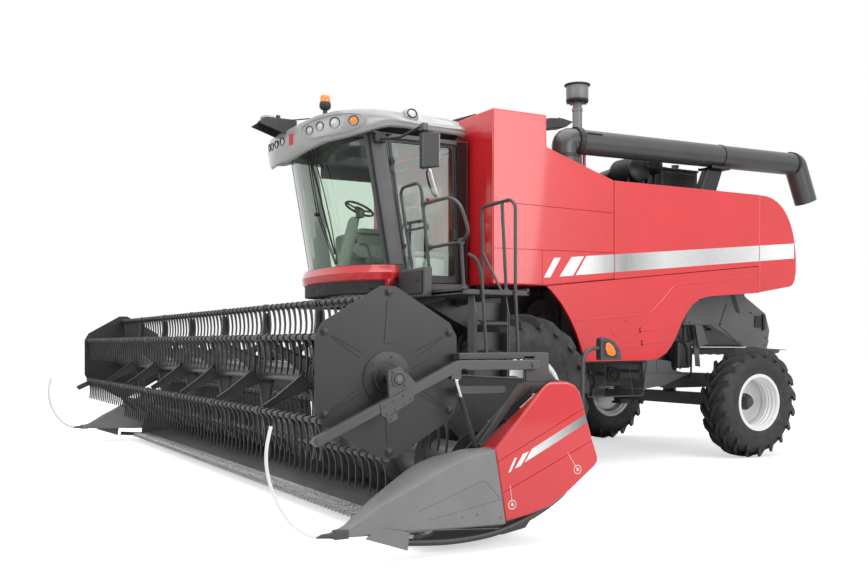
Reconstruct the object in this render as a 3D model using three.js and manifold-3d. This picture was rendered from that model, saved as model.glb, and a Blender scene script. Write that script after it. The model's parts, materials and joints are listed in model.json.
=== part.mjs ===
// Combine harvester with a 30 ft grain header, as separate solids in one scene graph.
// Millimetres. +Z up, -Y is the machine's front, +X its left side.
// Coordinates are measured from the front axle: x from the centreline, y from the axle, z from the ground.
import * as THREE from 'three';
import { mergeVertices } from 'three/addons/utils/BufferGeometryUtils.js';
import Module from 'manifold-3d';

const wasm = await Module();
wasm.setup();

// ---------------------------------------------------------------- driving dimensions
const GAP = 0.3;                    // clearance between pieces that bear on each other
const RUN = 6;                      // clearance around pieces that move
const WHEELBASE = 3500;
const FRONT = { radius: 880, width: 620, x: 1360, rim: 410, beadWidth: 500, hub: 150 };
const REAR = { radius: 698, width: 420, x: 1450, rim: 334, beadWidth: 340, hub: 105 };
const WHEEL_SIDES = 28;
const HUB_BACK = 30;                // how far the hub's bolted face lies inside the wheel's centre plane
const FRAME = { inner: 620, outer: 740, bottom: 1000, top: 1180, tailBottom: 860, tailTop: 1040, tail: 400 };
// The front posts carry the feeder house and the cab.
const POST = { inner: 700, outer: 960, foot: 150, front: -1620, beam: 1860 };
const STEER_X = 1120;               // kingpin distance from the centreline

const BODY_HALF = 1500;             // outside of the side panels
const PANEL = 40;                   // thickness of a side panel with its frame
const TANK = { front: -380, ledge: 330, rear: 1290, floor: 2080, top: 3985, shoulder: 3630, deck: 3330 };
const HOOD = { front: 3640, bend: 3780, rear: 4318, sill: 2180 };
const SEAM = { start: 310, rise: 0.1035, gap: 7 };     // sloping seam under the upper panels
const HOUSING = { half: 690, top: 2390, bottom: 1200, rear: HOOD.front - 20 };
const UNDERSIDE = { y: 3000, z: 1300, slope: 0.64 };   // rear underside of the separator housing
const CHOPPER = { half: 800, front: 3000, sill: 1680, rear: 4600, low: 1390 };

const CAB = {
  half: 1030, rear: -420, pillar: -1290, nose: -1790, floor: 1990, sill: 2290, top: 3690, wall: 45, lean: 244,
};
const ROOF = { half: 1080, front: -2300, rear: -440, bottom: CAB.top + GAP, top: 3975 };
const DOOR = {
  front: CAB.pillar + 90, rear: CAB.rear - 110, bottom: CAB.floor + 110, top: CAB.top - 60, border: 60, rise: 10,
};
const HINGE = { x: CAB.half + 16, radius: 14, heights: [2450, 3350], length: 70 };
const PLATFORM = { inner: Math.max(CAB.half, POST.outer) + 50, outer: 2250, front: -1200, rear: -420, top: 1970, thick: 50 };
const LOCKER = { outer: 1640, front: -1330, top: 2225 };           // tool box on the platform's front edge
const RAIL = 17;                    // radius of the handrails
const LADDER = { depth: 150, front: -1060, rear: -650, bottom: 420, steps: 5, plate: 30 };

const HEADER = { half: 4480, beam: 4000, knifeY: -2790, rear: -1640, top: 1160, sheet: 12, back: -1790, throat: 560 };
const KNIFE_BED = 98;               // top of the bar that the knife slides on
const AUGER = { y: -2130, z: 460, tube: 200, flight: 300, pitch: 560 };
const PIVOT = { y: -150, z: 1750 }; // feeder house pivot on the frame
const REEL = {
  y: -3070, z: 1200, half: HEADER.half - 100, plate: 625, bar: 562, tube: 90, barRadius: 19, count: 6, bays: 7,
};
const ARM = { x: HEADER.half + 50, y: -1970, z: 1285, half: 28, depth: 70 };
const SHIELD = { inner: HEADER.half + 30, outer: HEADER.half + 220 };
const REEL_LIFT = { foot: [-2440, 680], eye: [-2620, 1215], radius: 20 };     // [y, z] of its two ends
const LIFT = { x: 450, foot: [-190, 760], eye: [-1150, 600], radius: 55, rail: 30 };
const UNLOADER = {
  x: BODY_HALF - 260, y: 760, z: 3790, radius: 145, turret: 185, endY: 4560, endZ: 3845, seat: 3580,
};
const SPOUT = { y: 4800, z: 3355 };
const STACK = { x: 700, y: 1360, pipe: 60, canister: 138, lid: 162, foot: 4440, top: 4640 };

// ---------------------------------------------------------------- materials
const finish = (color, roughness, metalness = 0) => new THREE.MeshStandardMaterial({ color, roughness, metalness });
const RED = finish(0xd8131c, 0.28);
const CHARCOAL = finish(0x3a3b3d, 0.5, 0.2);
const GREY = finish(0x808285, 0.45);
const ROOF_GREY = finish(0xb9b7b5, 0.3);
const SILVER = finish(0xc4c6c8, 0.35, 0.6);
const STEEL = finish(0x9a9c9e, 0.35, 0.8);
const RUBBER = finish(0x1c1c1d, 0.85);
const BLACK = finish(0x202123, 0.6);
const GLASS = finish(0xb4c8ba, 0.05);
const FABRIC = finish(0x55575a, 0.9);

// ---------------------------------------------------------------- solids
function closed(geometry) {
  const bare = geometry.clone();
  bare.deleteAttribute('normal');
  bare.deleteAttribute('uv');
  const merged = mergeVertices(bare, 1e-3);
  const index = merged.index.array;
  const keep = [];
  for (let i = 0; i < index.length; i += 3) {
    const [a, b, c] = [index[i], index[i + 1], index[i + 2]];
    if (a !== b && b !== c && c !== a) keep.push(a, b, c);
  }
  merged.setIndex(keep);
  return volume(merged) < 0 ? flipped(merged) : merged;
}

function volume(geometry) {
  const p = geometry.attributes.position;
  const [a, b, c] = [new THREE.Vector3(), new THREE.Vector3(), new THREE.Vector3()];
  let sum = 0;
  for (let i = 0; i < geometry.index.count; i += 3) {
    a.fromBufferAttribute(p, geometry.index.getX(i));
    b.fromBufferAttribute(p, geometry.index.getX(i + 1));
    c.fromBufferAttribute(p, geometry.index.getX(i + 2));
    sum += a.dot(b.cross(c));
  }
  return sum;
}

function flipped(geometry) {
  const index = Array.from(geometry.index.array);
  for (let i = 0; i < index.length; i += 3) [index[i], index[i + 1]] = [index[i + 1], index[i]];
  geometry.setIndex(index);
  return geometry;
}

function toManifold(geometry) {
  const g = closed(geometry);
  return new wasm.Manifold(new wasm.Mesh({
    numProp: 3,
    vertProperties: new Float32Array(g.attributes.position.array),
    triVerts: new Uint32Array(g.index.array),
  }));
}

function fromManifold(solid) {
  const mesh = solid.getMesh();
  const geometry = new THREE.BufferGeometry();
  geometry.setAttribute('position', new THREE.BufferAttribute(new Float32Array(mesh.vertProperties), 3));
  geometry.setIndex(Array.from(mesh.triVerts));
  geometry.computeVertexNormals();
  return geometry;
}

const join = (...pieces) => fromManifold(pieces.map(toManifold).reduce((sum, next) => sum.add(next)));
const cut = (piece, ...tools) => fromManifold(
  tools.map(toManifold).reduce((rest, tool) => rest.subtract(tool), toManifold(piece)));
const common = (a, b) => fromManifold(toManifold(a).intersect(toManifold(b)));
const mirrored = (geometry) => closed(geometry.clone().scale(-1, 1, 1));

const AXES = {
  x: new THREE.Matrix4().set(0, 0, 1, 0, 1, 0, 0, 0, 0, 1, 0, 0, 0, 0, 0, 1),
  y: new THREE.Matrix4().set(1, 0, 0, 0, 0, 0, -1, 0, 0, 1, 0, 0, 0, 0, 0, 1),
  z: new THREE.Matrix4(),
};

// A prism along an axis. Points are [y, z] along x, [x, z] along y and [x, y] along z.
function prism(axis, points, from, to) {
  const corners = () => points.map(([a, b]) => new THREE.Vector2(a, b));
  const shape = points instanceof THREE.Shape ? points : new THREE.Shape(corners());
  const geometry = new THREE.ExtrudeGeometry(shape, { depth: to - from, bevelEnabled: false, curveSegments: 10 });
  geometry.translate(0, 0, axis === 'y' ? -to : from);
  return closed(geometry.applyMatrix4(AXES[axis]));
}

function box(x0, x1, y0, y1, z0, z1) {
  return new THREE.BoxGeometry(x1 - x0, y1 - y0, z1 - z0).translate((x0 + x1) / 2, (y0 + y1) / 2, (z0 + z1) / 2);
}

// The same box on one side of the machine: x runs outwards from the centreline.
const sideBox = (s, x0, x1, ...rest) => (s > 0 ? box(x0, x1, ...rest) : box(-x1, -x0, ...rest));
const sidePrism = (s, points, x0, x1) => (s > 0 ? prism('x', points, x0, x1) : prism('x', points, -x1, -x0));

// A round bar between two points.
function bar(start, end, radius, segments = 16, endRadius = radius) {
  const a = new THREE.Vector3(...start);
  const b = new THREE.Vector3(...end);
  const along = b.clone().sub(a);
  const turn = new THREE.Quaternion().setFromUnitVectors(new THREE.Vector3(0, 1, 0), along.clone().normalize());
  return new THREE.CylinderGeometry(endRadius, radius, along.length(), segments)
    .applyQuaternion(turn).translate(...a.add(b).multiplyScalar(0.5).toArray());
}

// A round tube bent through points, its ends flat.
function pipe(points, radius, steps = 24, sides = 8) {
  const path = new THREE.CatmullRomCurve3(points.map((p) => new THREE.Vector3(...p)), false, 'centripetal');
  const ring = [];
  for (let i = 0; i < sides; i++) {
    const a = (i / sides) * 2 * Math.PI;
    ring.push(new THREE.Vector2(radius * Math.cos(a), radius * Math.sin(a)));
  }
  return closed(new THREE.ExtrudeGeometry(new THREE.Shape(ring), { steps, extrudePath: path, bevelEnabled: false }));
}

// Straight bars through corner points, with a ball at each inner corner.
function rail(points, radius, sides = 6) {
  const pieces = [];
  for (let i = 1; i < points.length; i++) pieces.push(bar(points[i - 1], points[i], radius, sides));
  for (let i = 1; i < points.length - 1; i++) {
    pieces.push(new THREE.SphereGeometry(radius * 1.04, sides, 3).translate(...points[i]));
  }
  return pieces;
}

// A solid of revolution about the x axis; profile points are [x, radius].
function turned(profile, segments = 40) {
  const points = profile.map(([x, r]) => new THREE.Vector2(r, x));
  return closed(new THREE.LatheGeometry(points, segments).rotateZ(-Math.PI / 2));
}

// ---------------------------------------------------------------- wheels
function tyre({ radius, width, rim, beadWidth }) {
  const half = width / 2;
  const bead = beadWidth / 2;
  const wall = radius - rim;
  const side = [
    [bead, rim + GAP], [bead, rim + 0.1 * wall], [half * 0.97, rim + 0.35 * wall], [half, rim + 0.6 * wall],
    [half * 0.98, radius - 0.16 * wall], [half * 0.9, radius - 0.05 * wall], [half * 0.5, radius],
  ];
  const profile = [...side, ...side.slice().reverse().map(([x, r]) => [-x, r])];
  return turned([...profile, profile[0]], WHEEL_SIDES);
}

function rim({ rim: seat, beadWidth, hub }) {
  const bead = beadWidth / 2 + GAP;
  const lip = bead + 12;
  const skin = 14;
  const inner = seat - skin;
  const dish = 40;
  const shell = [
    [dish + 60, 0], [dish + 60, hub * 0.8], [dish + 12, hub], [dish + 12, inner * 0.8], [dish + 40, inner],
    [lip, inner], [lip, seat + 26], [bead, seat + 26], [bead, seat], [-bead, seat], [-bead, seat + 26],
    [-lip, seat + 26], [-lip, inner], [dish + 18, inner], [dish - 4, inner * 0.78], [dish - 4, hub],
    [dish - 70, hub], [dish - 70, 0],
  ];
  return turned(shell, WHEEL_SIDES);
}

// ---------------------------------------------------------------- chassis
function mainFrame() {
  const { inner, outer, bottom, top, tailBottom, tailTop, tail } = FRAME;
  const end = WHEELBASE + tail;
  const drop = [WHEELBASE - 1300, WHEELBASE - 700];       // where the side rails step down to the rear axle
  const side = [[-100, bottom], [drop[0], bottom], [drop[1], tailBottom], [end, tailBottom], [end, tailTop],
    [drop[1] + 100, tailTop], [drop[0] + 100, top], [-100, top]];
  const seat = CAB.floor - 30;
  const foot = POST.foot;
  const bracketTop = PLATFORM.top - PLATFORM.thick - GAP;
  const pieces = [];
  for (const s of [-1, 1]) {
    pieces.push(sidePrism(s, side, inner, outer));
    pieces.push(sideBox(s, POST.inner, POST.outer, -foot, foot, bottom + GAP, POST.beam + 10));
    pieces.push(sideBox(s, POST.inner, POST.outer, POST.front, foot, POST.beam, seat));
    pieces.push(sidePrism(s, [[-foot, 1500], [-foot, POST.beam + 10], [-900, POST.beam + 10]], POST.inner, POST.outer));
    for (const y of [-1200, -550]) pieces.push(bar([s * 860, y, seat - 10], [s * 860, y, CAB.floor - GAP], 50, 12));
    pieces.push(sideBox(s, POST.inner, POST.inner + 80, 800, 880, top - 30, TANK.floor - GAP));
    for (const y of [PLATFORM.front + 100, PLATFORM.rear - 140]) {
      pieces.push(sideBox(s, POST.outer, PLATFORM.inner + 20, y, y + 80, POST.beam, bracketTop));
    }
  }
  pieces.push(box(-outer, outer, -100, 100, bottom + 10, top - 10));
  pieces.push(box(-POST.outer, POST.outer, POST.front, POST.front + 120, POST.beam + 10, seat));
  pieces.push(box(-outer, outer, WHEELBASE - 110, WHEELBASE + 110, tailBottom + 10, tailTop - 10));
  pieces.push(box(-outer, outer, end - 70, end, tailBottom + 10, tailTop - 10));
  return join(...pieces);
}

function frontAxle() {
  const z = FRONT.radius;
  const end = FRONT.x - HUB_BACK - 0.5;
  const lug = LIFT.x + LIFT.radius + 3;
  const [lugY, lugZ] = LIFT.foot;
  return join(
    box(-POST.outer, POST.outer, -130, 130, z - 110, FRAME.bottom),
    bar([-end, 0, z], [end, 0, z], 110, 20),
    ...[-1, 1].map((s) => sideBox(s, POST.outer - 100, POST.outer + 50, -190, 190, z - 230, FRAME.bottom)),
    ...[-1, 1].map((s) => sideBox(s, lug, lug + 30, lugY - 50, lugY + 80, lugZ - 60, lugZ + 70)),
  );
}

function rearAxle() {
  const z = REAR.radius;
  const pieces = [
    box(-STEER_X + 110, STEER_X - 110, WHEELBASE - 90, WHEELBASE + 90, z - 80, z + 80),
    bar([0, WHEELBASE, z], [0, WHEELBASE, FRAME.tailBottom + 10 - GAP], 90),
  ];
  for (const s of [-1, 1]) {
    for (const level of [-150, 118]) {
      pieces.push(sideBox(s, STEER_X - 160, STEER_X + 60, WHEELBASE - 70, WHEELBASE + 70, z + level, z + level + 32));
    }
    pieces.push(sideBox(s, STEER_X - 180, STEER_X - 120, WHEELBASE - 90, WHEELBASE + 90, z - 150, z + 150));
  }
  return join(...pieces);
}

function knuckle(s) {
  const z = REAR.radius;
  const end = REAR.x - HUB_BACK - 0.5;
  return join(
    bar([s * STEER_X, WHEELBASE, z - 117.5], [s * STEER_X, WHEELBASE, z + 117.5], 58, 20),
    bar([s * STEER_X, WHEELBASE, z], [s * end, WHEELBASE, z], 55, 20),
    sideBox(s, STEER_X, STEER_X + 50, WHEELBASE - 230, WHEELBASE, z - 60, z - 20),
  );
}

// ---------------------------------------------------------------- body
const seamZ = (y) => TANK.floor + 4 + Math.max(0, (y - SEAM.start) * SEAM.rise);
const undersideZ = (y) => UNDERSIDE.z + (y - UNDERSIDE.y) * UNDERSIDE.slope;

function separatorHousing() {
  const { half, top, bottom, rear } = HOUSING;
  const floor = TANK.floor - GAP;
  const step = TANK.rear + 3;
  const upper = [
    [-90, bottom], [-90, floor], [step, floor], [step, top], [rear, top],
    [rear, undersideZ(rear)], [UNDERSIDE.y, UNDERSIDE.z], [200, UNDERSIDE.z],
  ];
  const shoe = [[350, 900], [UNDERSIDE.y, 900], [UNDERSIDE.y + 150, 1350], [150, 1350]];
  return join(prism('x', upper, -half, half), prism('x', shoe, -FRAME.inner + GAP, FRAME.inner - GAP));
}

function grainTank() {
  const { front, ledge, rear, floor, top, shoulder, deck } = TANK;
  const outer = [[front, floor], [SEAM.start, floor], [rear, seamZ(rear)], [rear, deck], [ledge + 5, shoulder],
    [ledge, top], [front, top]];
  const hopper = floor + 320;                             // where the walls start to slope to the cross auger
  const inner = [
    [front + PANEL, hopper], [150, floor + PANEL], [rear - PANEL, hopper], [rear - PANEL, deck - PANEL],
    [ledge - PANEL, shoulder - PANEL], [ledge - PANEL, top + 50], [front + PANEL, top + 50],
  ];
  return cut(prism('x', outer, -BODY_HALF, BODY_HALF), prism('x', inner, -BODY_HALF + PANEL, BODY_HALF - PANEL));
}

function upperPanel() {
  const y0 = TANK.rear + GAP;
  const y1 = HOOD.front - GAP;
  const outline = [[y0, seamZ(y0)], [y1, seamZ(y1)], [y1, TANK.deck + 5], [y0, TANK.deck]];
  return prism('x', outline, BODY_HALF - PANEL, BODY_HALF);
}

function sideDoor() {
  const y0 = SEAM.start + 20;
  const y1 = HOOD.front - SEAM.gap;
  const outline = new THREE.Shape();
  outline.moveTo(y0, seamZ(y0) - SEAM.gap);
  outline.quadraticCurveTo(700, 1800, 860, 1232);
  outline.lineTo(1820, 1240);
  outline.bezierCurveTo(2360, 1250, 2200, 1960, 2780, 2022);
  outline.lineTo(y1, 2085);
  outline.lineTo(y1, seamZ(y1) - SEAM.gap);
  const pad = (y) => {
    const under = (at) => seamZ(at) - SEAM.gap - 2;
    const rest = (at) => seamZ(at) - 0.5;
    return prism('x', [[y, under(y)], [y, rest(y)], [y + 60, rest(y + 60)], [y + 60, under(y + 60)]],
      BODY_HALF - PANEL, BODY_HALF - PANEL / 2);
  };
  return join(prism('x', outline, BODY_HALF - PANEL, BODY_HALF), pad(1400), pad(3300));
}

function rearHood() {
  const { front, bend, rear, sill } = HOOD;
  const outline = new THREE.Shape();
  outline.moveTo(front, 2090);
  outline.lineTo(front, TANK.deck + 5);
  outline.lineTo(bend, TANK.deck);
  outline.bezierCurveTo(bend + 340, TANK.deck - 40, rear + 12, 2960, rear, 2430);
  outline.quadraticCurveTo(rear - 8, sill + 20, rear - 118, sill);
  const inside = new THREE.Shape();
  inside.moveTo(front - 100, sill - 280);
  inside.lineTo(front - 100, TANK.deck - PANEL);
  inside.lineTo(bend, TANK.deck - PANEL);
  inside.bezierCurveTo(bend + 300, TANK.deck - 80, rear - 28, 2940, rear - PANEL, 2430);
  inside.lineTo(rear - PANEL, sill - 280);
  return cut(prism('x', outline, -BODY_HALF, BODY_HALF), prism('x', inside, -BODY_HALF + PANEL, BODY_HALF - PANEL));
}

function strawChopper() {
  const { half, front, sill, rear, low } = CHOPPER;
  const top = HOUSING.top - 90;
  const profile = [[front, sill], [front + 490, sill], [front + 1110, low], [rear - 30, low + 80], [rear, low + 230],
    [rear - 80, 1850], [rear - 470, HOUSING.top - 310], [rear - 550, top], [front + 200, top], [front + 100, 2080]];
  const slot = box(-HOUSING.half - GAP, HOUSING.half + GAP, front - 10, HOUSING.rear + GAP, low - 10, top + 10);
  return cut(prism('x', profile, -half, half), slot);
}

function engineDeck() {
  const z = TANK.deck - 150;
  const half = BODY_HALF - PANEL - GAP;
  const top = z + 20;
  const { x, y, pipe: tube, canister, lid, foot, top: crown } = STACK;
  const cradle = [[2820, top], [2820, z + 190], [2960, 3650 - RUN], [3250, 3650 - RUN], [3120, z + 190], [3120, top]];
  return join(
    box(-half, half, TANK.rear + GAP, HOOD.front - 20, z, z + 40),
    box(450, 720, 1980, 2520, top, z + 330),
    bar([420, 2230, z + 470], [860, 2230, z + 470], 165, 20),
    box(-500, 780, 2640, 3280, top, z + 560),
    box(-1150, -650, 1900, 2900, top, z + 330),
    bar([x, y, top], [x, y, foot + 10], tube, 16),
    bar([x, y, foot], [x, y, crown - 30], canister, 24),
    bar([x, y, crown - 30.5], [x, y, crown], lid, 24),
    prism('x', cradle, UNLOADER.x - 60, UNLOADER.x + 60),
  );
}

// ---------------------------------------------------------------- unloading auger
function augerTurret() {
  const { x, y, turret, seat } = UNLOADER;
  const { ledge, rear, shoulder, deck } = TANK;
  const above = 4200;
  const slope = [[ledge + 5, shoulder + GAP], [rear, deck + GAP], [rear, above], [ledge + 5, above]];
  return common(bar([x, y, deck - 30], [x, y, seat], turret, 24), prism('x', slope, x - 400, x + 400));
}

function unloadingTube() {
  const { x, y, z, radius, turret, seat, endY, endZ } = UNLOADER;
  const neck = turret - 10;
  return join(
    bar([x, y, seat + 0.5], [x, y, z - 20], neck, 24),
    new THREE.SphereGeometry(neck, 16, 8).translate(x, y, z - 20),
    bar([x, y, z], [x, endY, endZ], radius, 24),
    new THREE.SphereGeometry(radius + 4, 16, 8).translate(x, endY, endZ),
    bar([x, endY, endZ], [x, SPOUT.y, SPOUT.z], radius, 24, radius + 8),
  );
}

// ---------------------------------------------------------------- cab
function cabOutline(inset, from, to) {
  const half = CAB.half - inset;
  const shape = new THREE.Shape();
  const pillar = CAB.pillar + inset * 0.6;
  shape.moveTo(half, CAB.rear - inset);
  shape.lineTo(-half, CAB.rear - inset);
  shape.lineTo(-half, pillar);
  shape.bezierCurveTo(-half + 150, CAB.nose + inset + 120, -half + 480, CAB.nose + inset, 0, CAB.nose + inset);
  shape.bezierCurveTo(half - 480, CAB.nose + inset, half - 150, CAB.nose + inset + 120, half, pillar);
  return prism('z', shape, from, to);
}

// Above its sill the cab leans forwards: its rear wall stays upright and its front pillars move furthest.
function leanAt(y, z) {
  const rise = Math.max(0, z - CAB.sill) / (CAB.top - CAB.sill);
  const share = Math.min(1, Math.max(0, (CAB.rear - y) / (CAB.rear - CAB.pillar)));
  return CAB.lean * rise * share;
}

function leaned(geometry) {
  const p = geometry.attributes.position;
  for (let i = 0; i < p.count; i++) p.setY(i, p.getY(i) - leanAt(p.getY(i), p.getZ(i)));
  return geometry;
}

// The door's hinge line lies outside its front edge and leans with it.
const hingeSlope = (CAB.lean * (CAB.rear - DOOR.front)) / (CAB.rear - CAB.pillar) / (CAB.top - CAB.sill);
const hingeY = (z) => DOOR.front - hingeSlope * (z - CAB.sill);

function hingeBarrel(z, direction) {
  const from = z + direction * 0.25;
  const to = z + direction * HINGE.length;
  const leaf = direction > 0 ? [0, 34] : [-26, -8];
  const middle = hingeY((from + to) / 2);
  const [low, high] = [Math.min(from, to) + 8, Math.max(from, to) - 8];
  return join(
    bar([HINGE.x, hingeY(from), from], [HINGE.x, hingeY(to), to], HINGE.radius, 10),
    box(CAB.half - 8, HINGE.x, middle + leaf[0], middle + leaf[1], low, high),
  );
}

function cabShell() {
  const { half, rear, pillar, nose, floor, sill, top, wall } = CAB;
  const above = DOOR.top + RUN + DOOR.rise;
  const doorway = box(half - 100, half + 50, DOOR.front - RUN, DOOR.rear + RUN, DOOR.bottom - RUN, above);
  const windows = [
    box(-half + 70, half - 70, nose - 200, pillar - 20, sill - 50, top - 40),
    box(-half - 50, -half + 100, pillar + 90, rear - 110, sill - 50, top - 40),
    box(-half + 130, half - 130, rear - 100, rear + 50, sill + 250, top - 80),
  ];
  const lower = cut(cabOutline(0, floor, sill), cabOutline(wall + 15, floor + 40, sill + 50), doorway);
  const upper = cut(cabOutline(0, sill, top), cabOutline(wall, sill - 50, top + 50), doorway, ...windows);
  return join(lower, leaned(upper), ...HINGE.heights.map((z) => hingeBarrel(z, -1)));
}

function cabGlazing() {
  const { half, rear, pillar, sill, top, wall } = CAB;
  const pane = cut(cabOutline(wall + 3, sill + GAP, top - 10), cabOutline(wall + 10, sill - 100, top + 50));
  const doorway = box(half - 200, half + 50, pillar + 30, rear - wall - 40, sill - 200, top + 50);
  return leaned(cut(pane, doorway));
}

function cabDoor() {
  const { half, wall, sill } = CAB;
  const { front, rear, bottom, top, border } = DOOR;
  const pane = box(half - 100, half + 50, front + border, rear - border, sill + 40, top - border);
  const frame = cut(box(half - wall, half - 1, front, rear, sill, top), pane);
  return join(box(half - wall, half - 1, front, rear, bottom, sill), leaned(frame),
    ...HINGE.heights.map((z) => hingeBarrel(z, 1)));
}

function doorGlass() {
  const { half, wall, sill } = CAB;
  const { front, rear, top, border } = DOOR;
  const middle = half - wall / 2;
  return leaned(box(middle - 3, middle + 3, front + border + GAP, rear - border - GAP,
    sill + 40 + GAP, top - border - GAP));
}

function cabRoof() {
  const { half, front, rear, bottom, top } = ROOF;
  const shoulder = -1600;                                 // where the sides start to curve in to the brow
  const plan = new THREE.Shape();
  plan.moveTo(half - 60, rear);
  plan.lineTo(-half + 60, rear);
  plan.lineTo(-half, rear - 200);
  plan.lineTo(-half, shoulder);
  plan.bezierCurveTo(-half + 10, front + 300, -400, front, 0, front);
  plan.bezierCurveTo(400, front, half - 10, front + 300, half, shoulder);
  plan.lineTo(half, rear - 200);
  const side = [[rear + 50, bottom], [-1750, bottom], [-2060, bottom - 120], [front - 50, bottom - 230],
    [front - 50, top - 110], [-2100, top - 25], [-1500, top], [-900, top - 20], [rear + 50, top - 60]];
  const roof = common(prism('z', plan, bottom - 300, top + 100), prism('x', side, -half, half));
  return cut(roof, leaned(cabOutline(-1.5, CAB.sill, bottom)));
}

function cabSkirt() {
  const { half, nose, pillar, sill } = CAB;
  const out = 14;
  const shape = new THREE.Shape();
  shape.moveTo(half + out, pillar);
  shape.bezierCurveTo(half - 150 + out, nose + 120 - out, half - 480, nose - out, 0, nose - out);
  shape.bezierCurveTo(-half + 480, nose - out, -half + 150 - out, nose + 120 - out, -half - out, pillar);
  return cut(prism('z', shape, sill - 165, sill - 5), cabOutline(-GAP, sill - 200, sill + 50));
}

function operatorStation() {
  const z = CAB.floor + 40 + GAP;
  const column = -1500;                                   // foot of the steering column
  return join(
    box(-300, 300, column - 60, -640, z, z + 25),
    box(-170, 170, -960, -700, z, z + 330),
    box(-250, 250, -1080, -620, z + 320, z + 440),
    box(-240, 240, -700, -590, z + 400, z + 1050),
    box(-520, -270, -1150, -650, z + 300, z + 560),
    box(-400, -200, -960, -760, z + 10, z + 360),
    bar([0, column, z + 20], [0, column + 170, z + 700], 45, 12),
    box(-60, 60, column - 60, column + 60, z, z + 60),
    bar([0, column + 165, z + 690], [0, column + 200, z + 725], 190, 20),
  );
}

function mirror() {
  const head = { x0: 1500, x1: 1850, y: -1315, depth: 40, bottom: 3210, top: 3610 };
  const stem = (head.x0 + head.x1) / 2;
  const root = CAB.half + 28;
  const arm = rail([[root, -1560, CAB.top], [root, -1560, 3600], [root + 330, -1440, 3570],
    [stem, head.y, 3665], [stem, head.y, head.top - 20]], 14);
  return join(box(head.x0, head.x1, head.y - head.depth, head.y + head.depth, head.bottom, head.top), ...arm);
}

// ---------------------------------------------------------------- platform and ladder
// A point on the leaning plane of the front guard, which follows the cab's door pillar.
const guardPoint = (x, z) => [x, PLATFORM.front + 20 - Math.max(0, z - LOCKER.top) * hingeSlope, z];

function platform() {
  const { inner, outer, front, rear, top, thick } = PLATFORM;
  const deck = top - thick;
  const hoop = rail([guardPoint(1160, deck + 20), guardPoint(1160, LOCKER.top), guardPoint(1130, 3040),
    guardPoint(1200, 3090), guardPoint(1530, 3090), guardPoint(1590, 3030), guardPoint(1590, deck + 20)], RAIL);
  const rung = rail([guardPoint(1150, 2640), guardPoint(1590, 2640)], RAIL - 5);
  const wing = rail([guardPoint(1590, 2870), guardPoint(2140, 2870), guardPoint(2300, 2780), guardPoint(2400, 2500),
    guardPoint(2250, 2425), guardPoint(1590, 2425)], RAIL);
  const post = rail([guardPoint(outer - 10, 2425), guardPoint(outer - 10, deck + 10)], RAIL);
  const handrailX = outer + RAIL - 2;
  const nearRail = rail([[handrailX, -1150, 2310], [handrailX, -1060, 2250], [handrailX, -1000, 2150],
    [handrailX, -985, 1960], [handrailX, -930, 1200]], RAIL);
  const back = -600;
  const farRail = rail([[1640, back, deck + 20], [1650, back, 2420], [1635, back, 2875], [2190, back, 2890],
    [handrailX, back, 2820], [handrailX, back, 1970], [handrailX, back + 40, 1200]], RAIL);
  const strut = rail([[2020, back, 2880], [2100, back, deck + 20]], RAIL);
  const brace = rail([[1650, back, 2400], [2040, back, deck + 20]], RAIL - 3);
  return join(
    box(inner, outer, front, rear, deck, top),
    box(inner, LOCKER.outer, LOCKER.front, front + 1, deck, LOCKER.top),
    ...hoop, ...rung, ...wing, ...post, ...nearRail, ...farRail, ...strut, ...brace,
  );
}

function ladder() {
  const { depth, front, rear, bottom, steps, plate } = LADDER;
  const x1 = PLATFORM.outer - 10;
  const x0 = x1 - depth;
  const pin = [(x0 + x1) / 2, front + plate / 2];
  const top = PLATFORM.top - PLATFORM.thick - RUN;
  const rise = (top - bottom) / steps;
  const pieces = [box(x0, x1, front, front + plate, bottom, top), box(x0, x1, rear - plate, rear, bottom, top),
    bar([...pin, top - 60], [...pin, top + RUN - 0.5], plate / 2)];
  for (let i = 0; i < steps; i++) {
    const z = bottom + i * rise;
    pieces.push(box(x0, x1, front + 20, rear - 20, z, z + 35));
    pieces.push(box(x0, x0 + 15, front + 20, rear - 20, z + 20, z + rise * 0.72));
  }
  return join(...pieces);
}

// ---------------------------------------------------------------- header
function feederHouse() {
  const back = HEADER.rear + GAP;
  const profile = [[back, 240], [back, 960], [-230, 1880], [-120, 1800], [-120, 1640], [-330, 1330]];
  const half = HEADER.throat;
  const mouth = [[back - 50, 262], [back - 50, 938], [-1250, 1150], [-1250, 520]];
  const shaft = POST.inner - GAP;
  const lug = LIFT.x + LIFT.radius;
  const [eyeY, eyeZ] = LIFT.eye;
  return join(
    cut(prism('x', profile, -half, half), prism('x', mouth, -half + 25, half - 25)),
    bar([-shaft, PIVOT.y, PIVOT.z], [shaft, PIVOT.y, PIVOT.z], 50),
    ...[-1, 1].map((s) => sideBox(s, lug, lug + 30, eyeY - 40, eyeY + 100, eyeZ - 40, eyeZ + 160)),
  );
}

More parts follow.
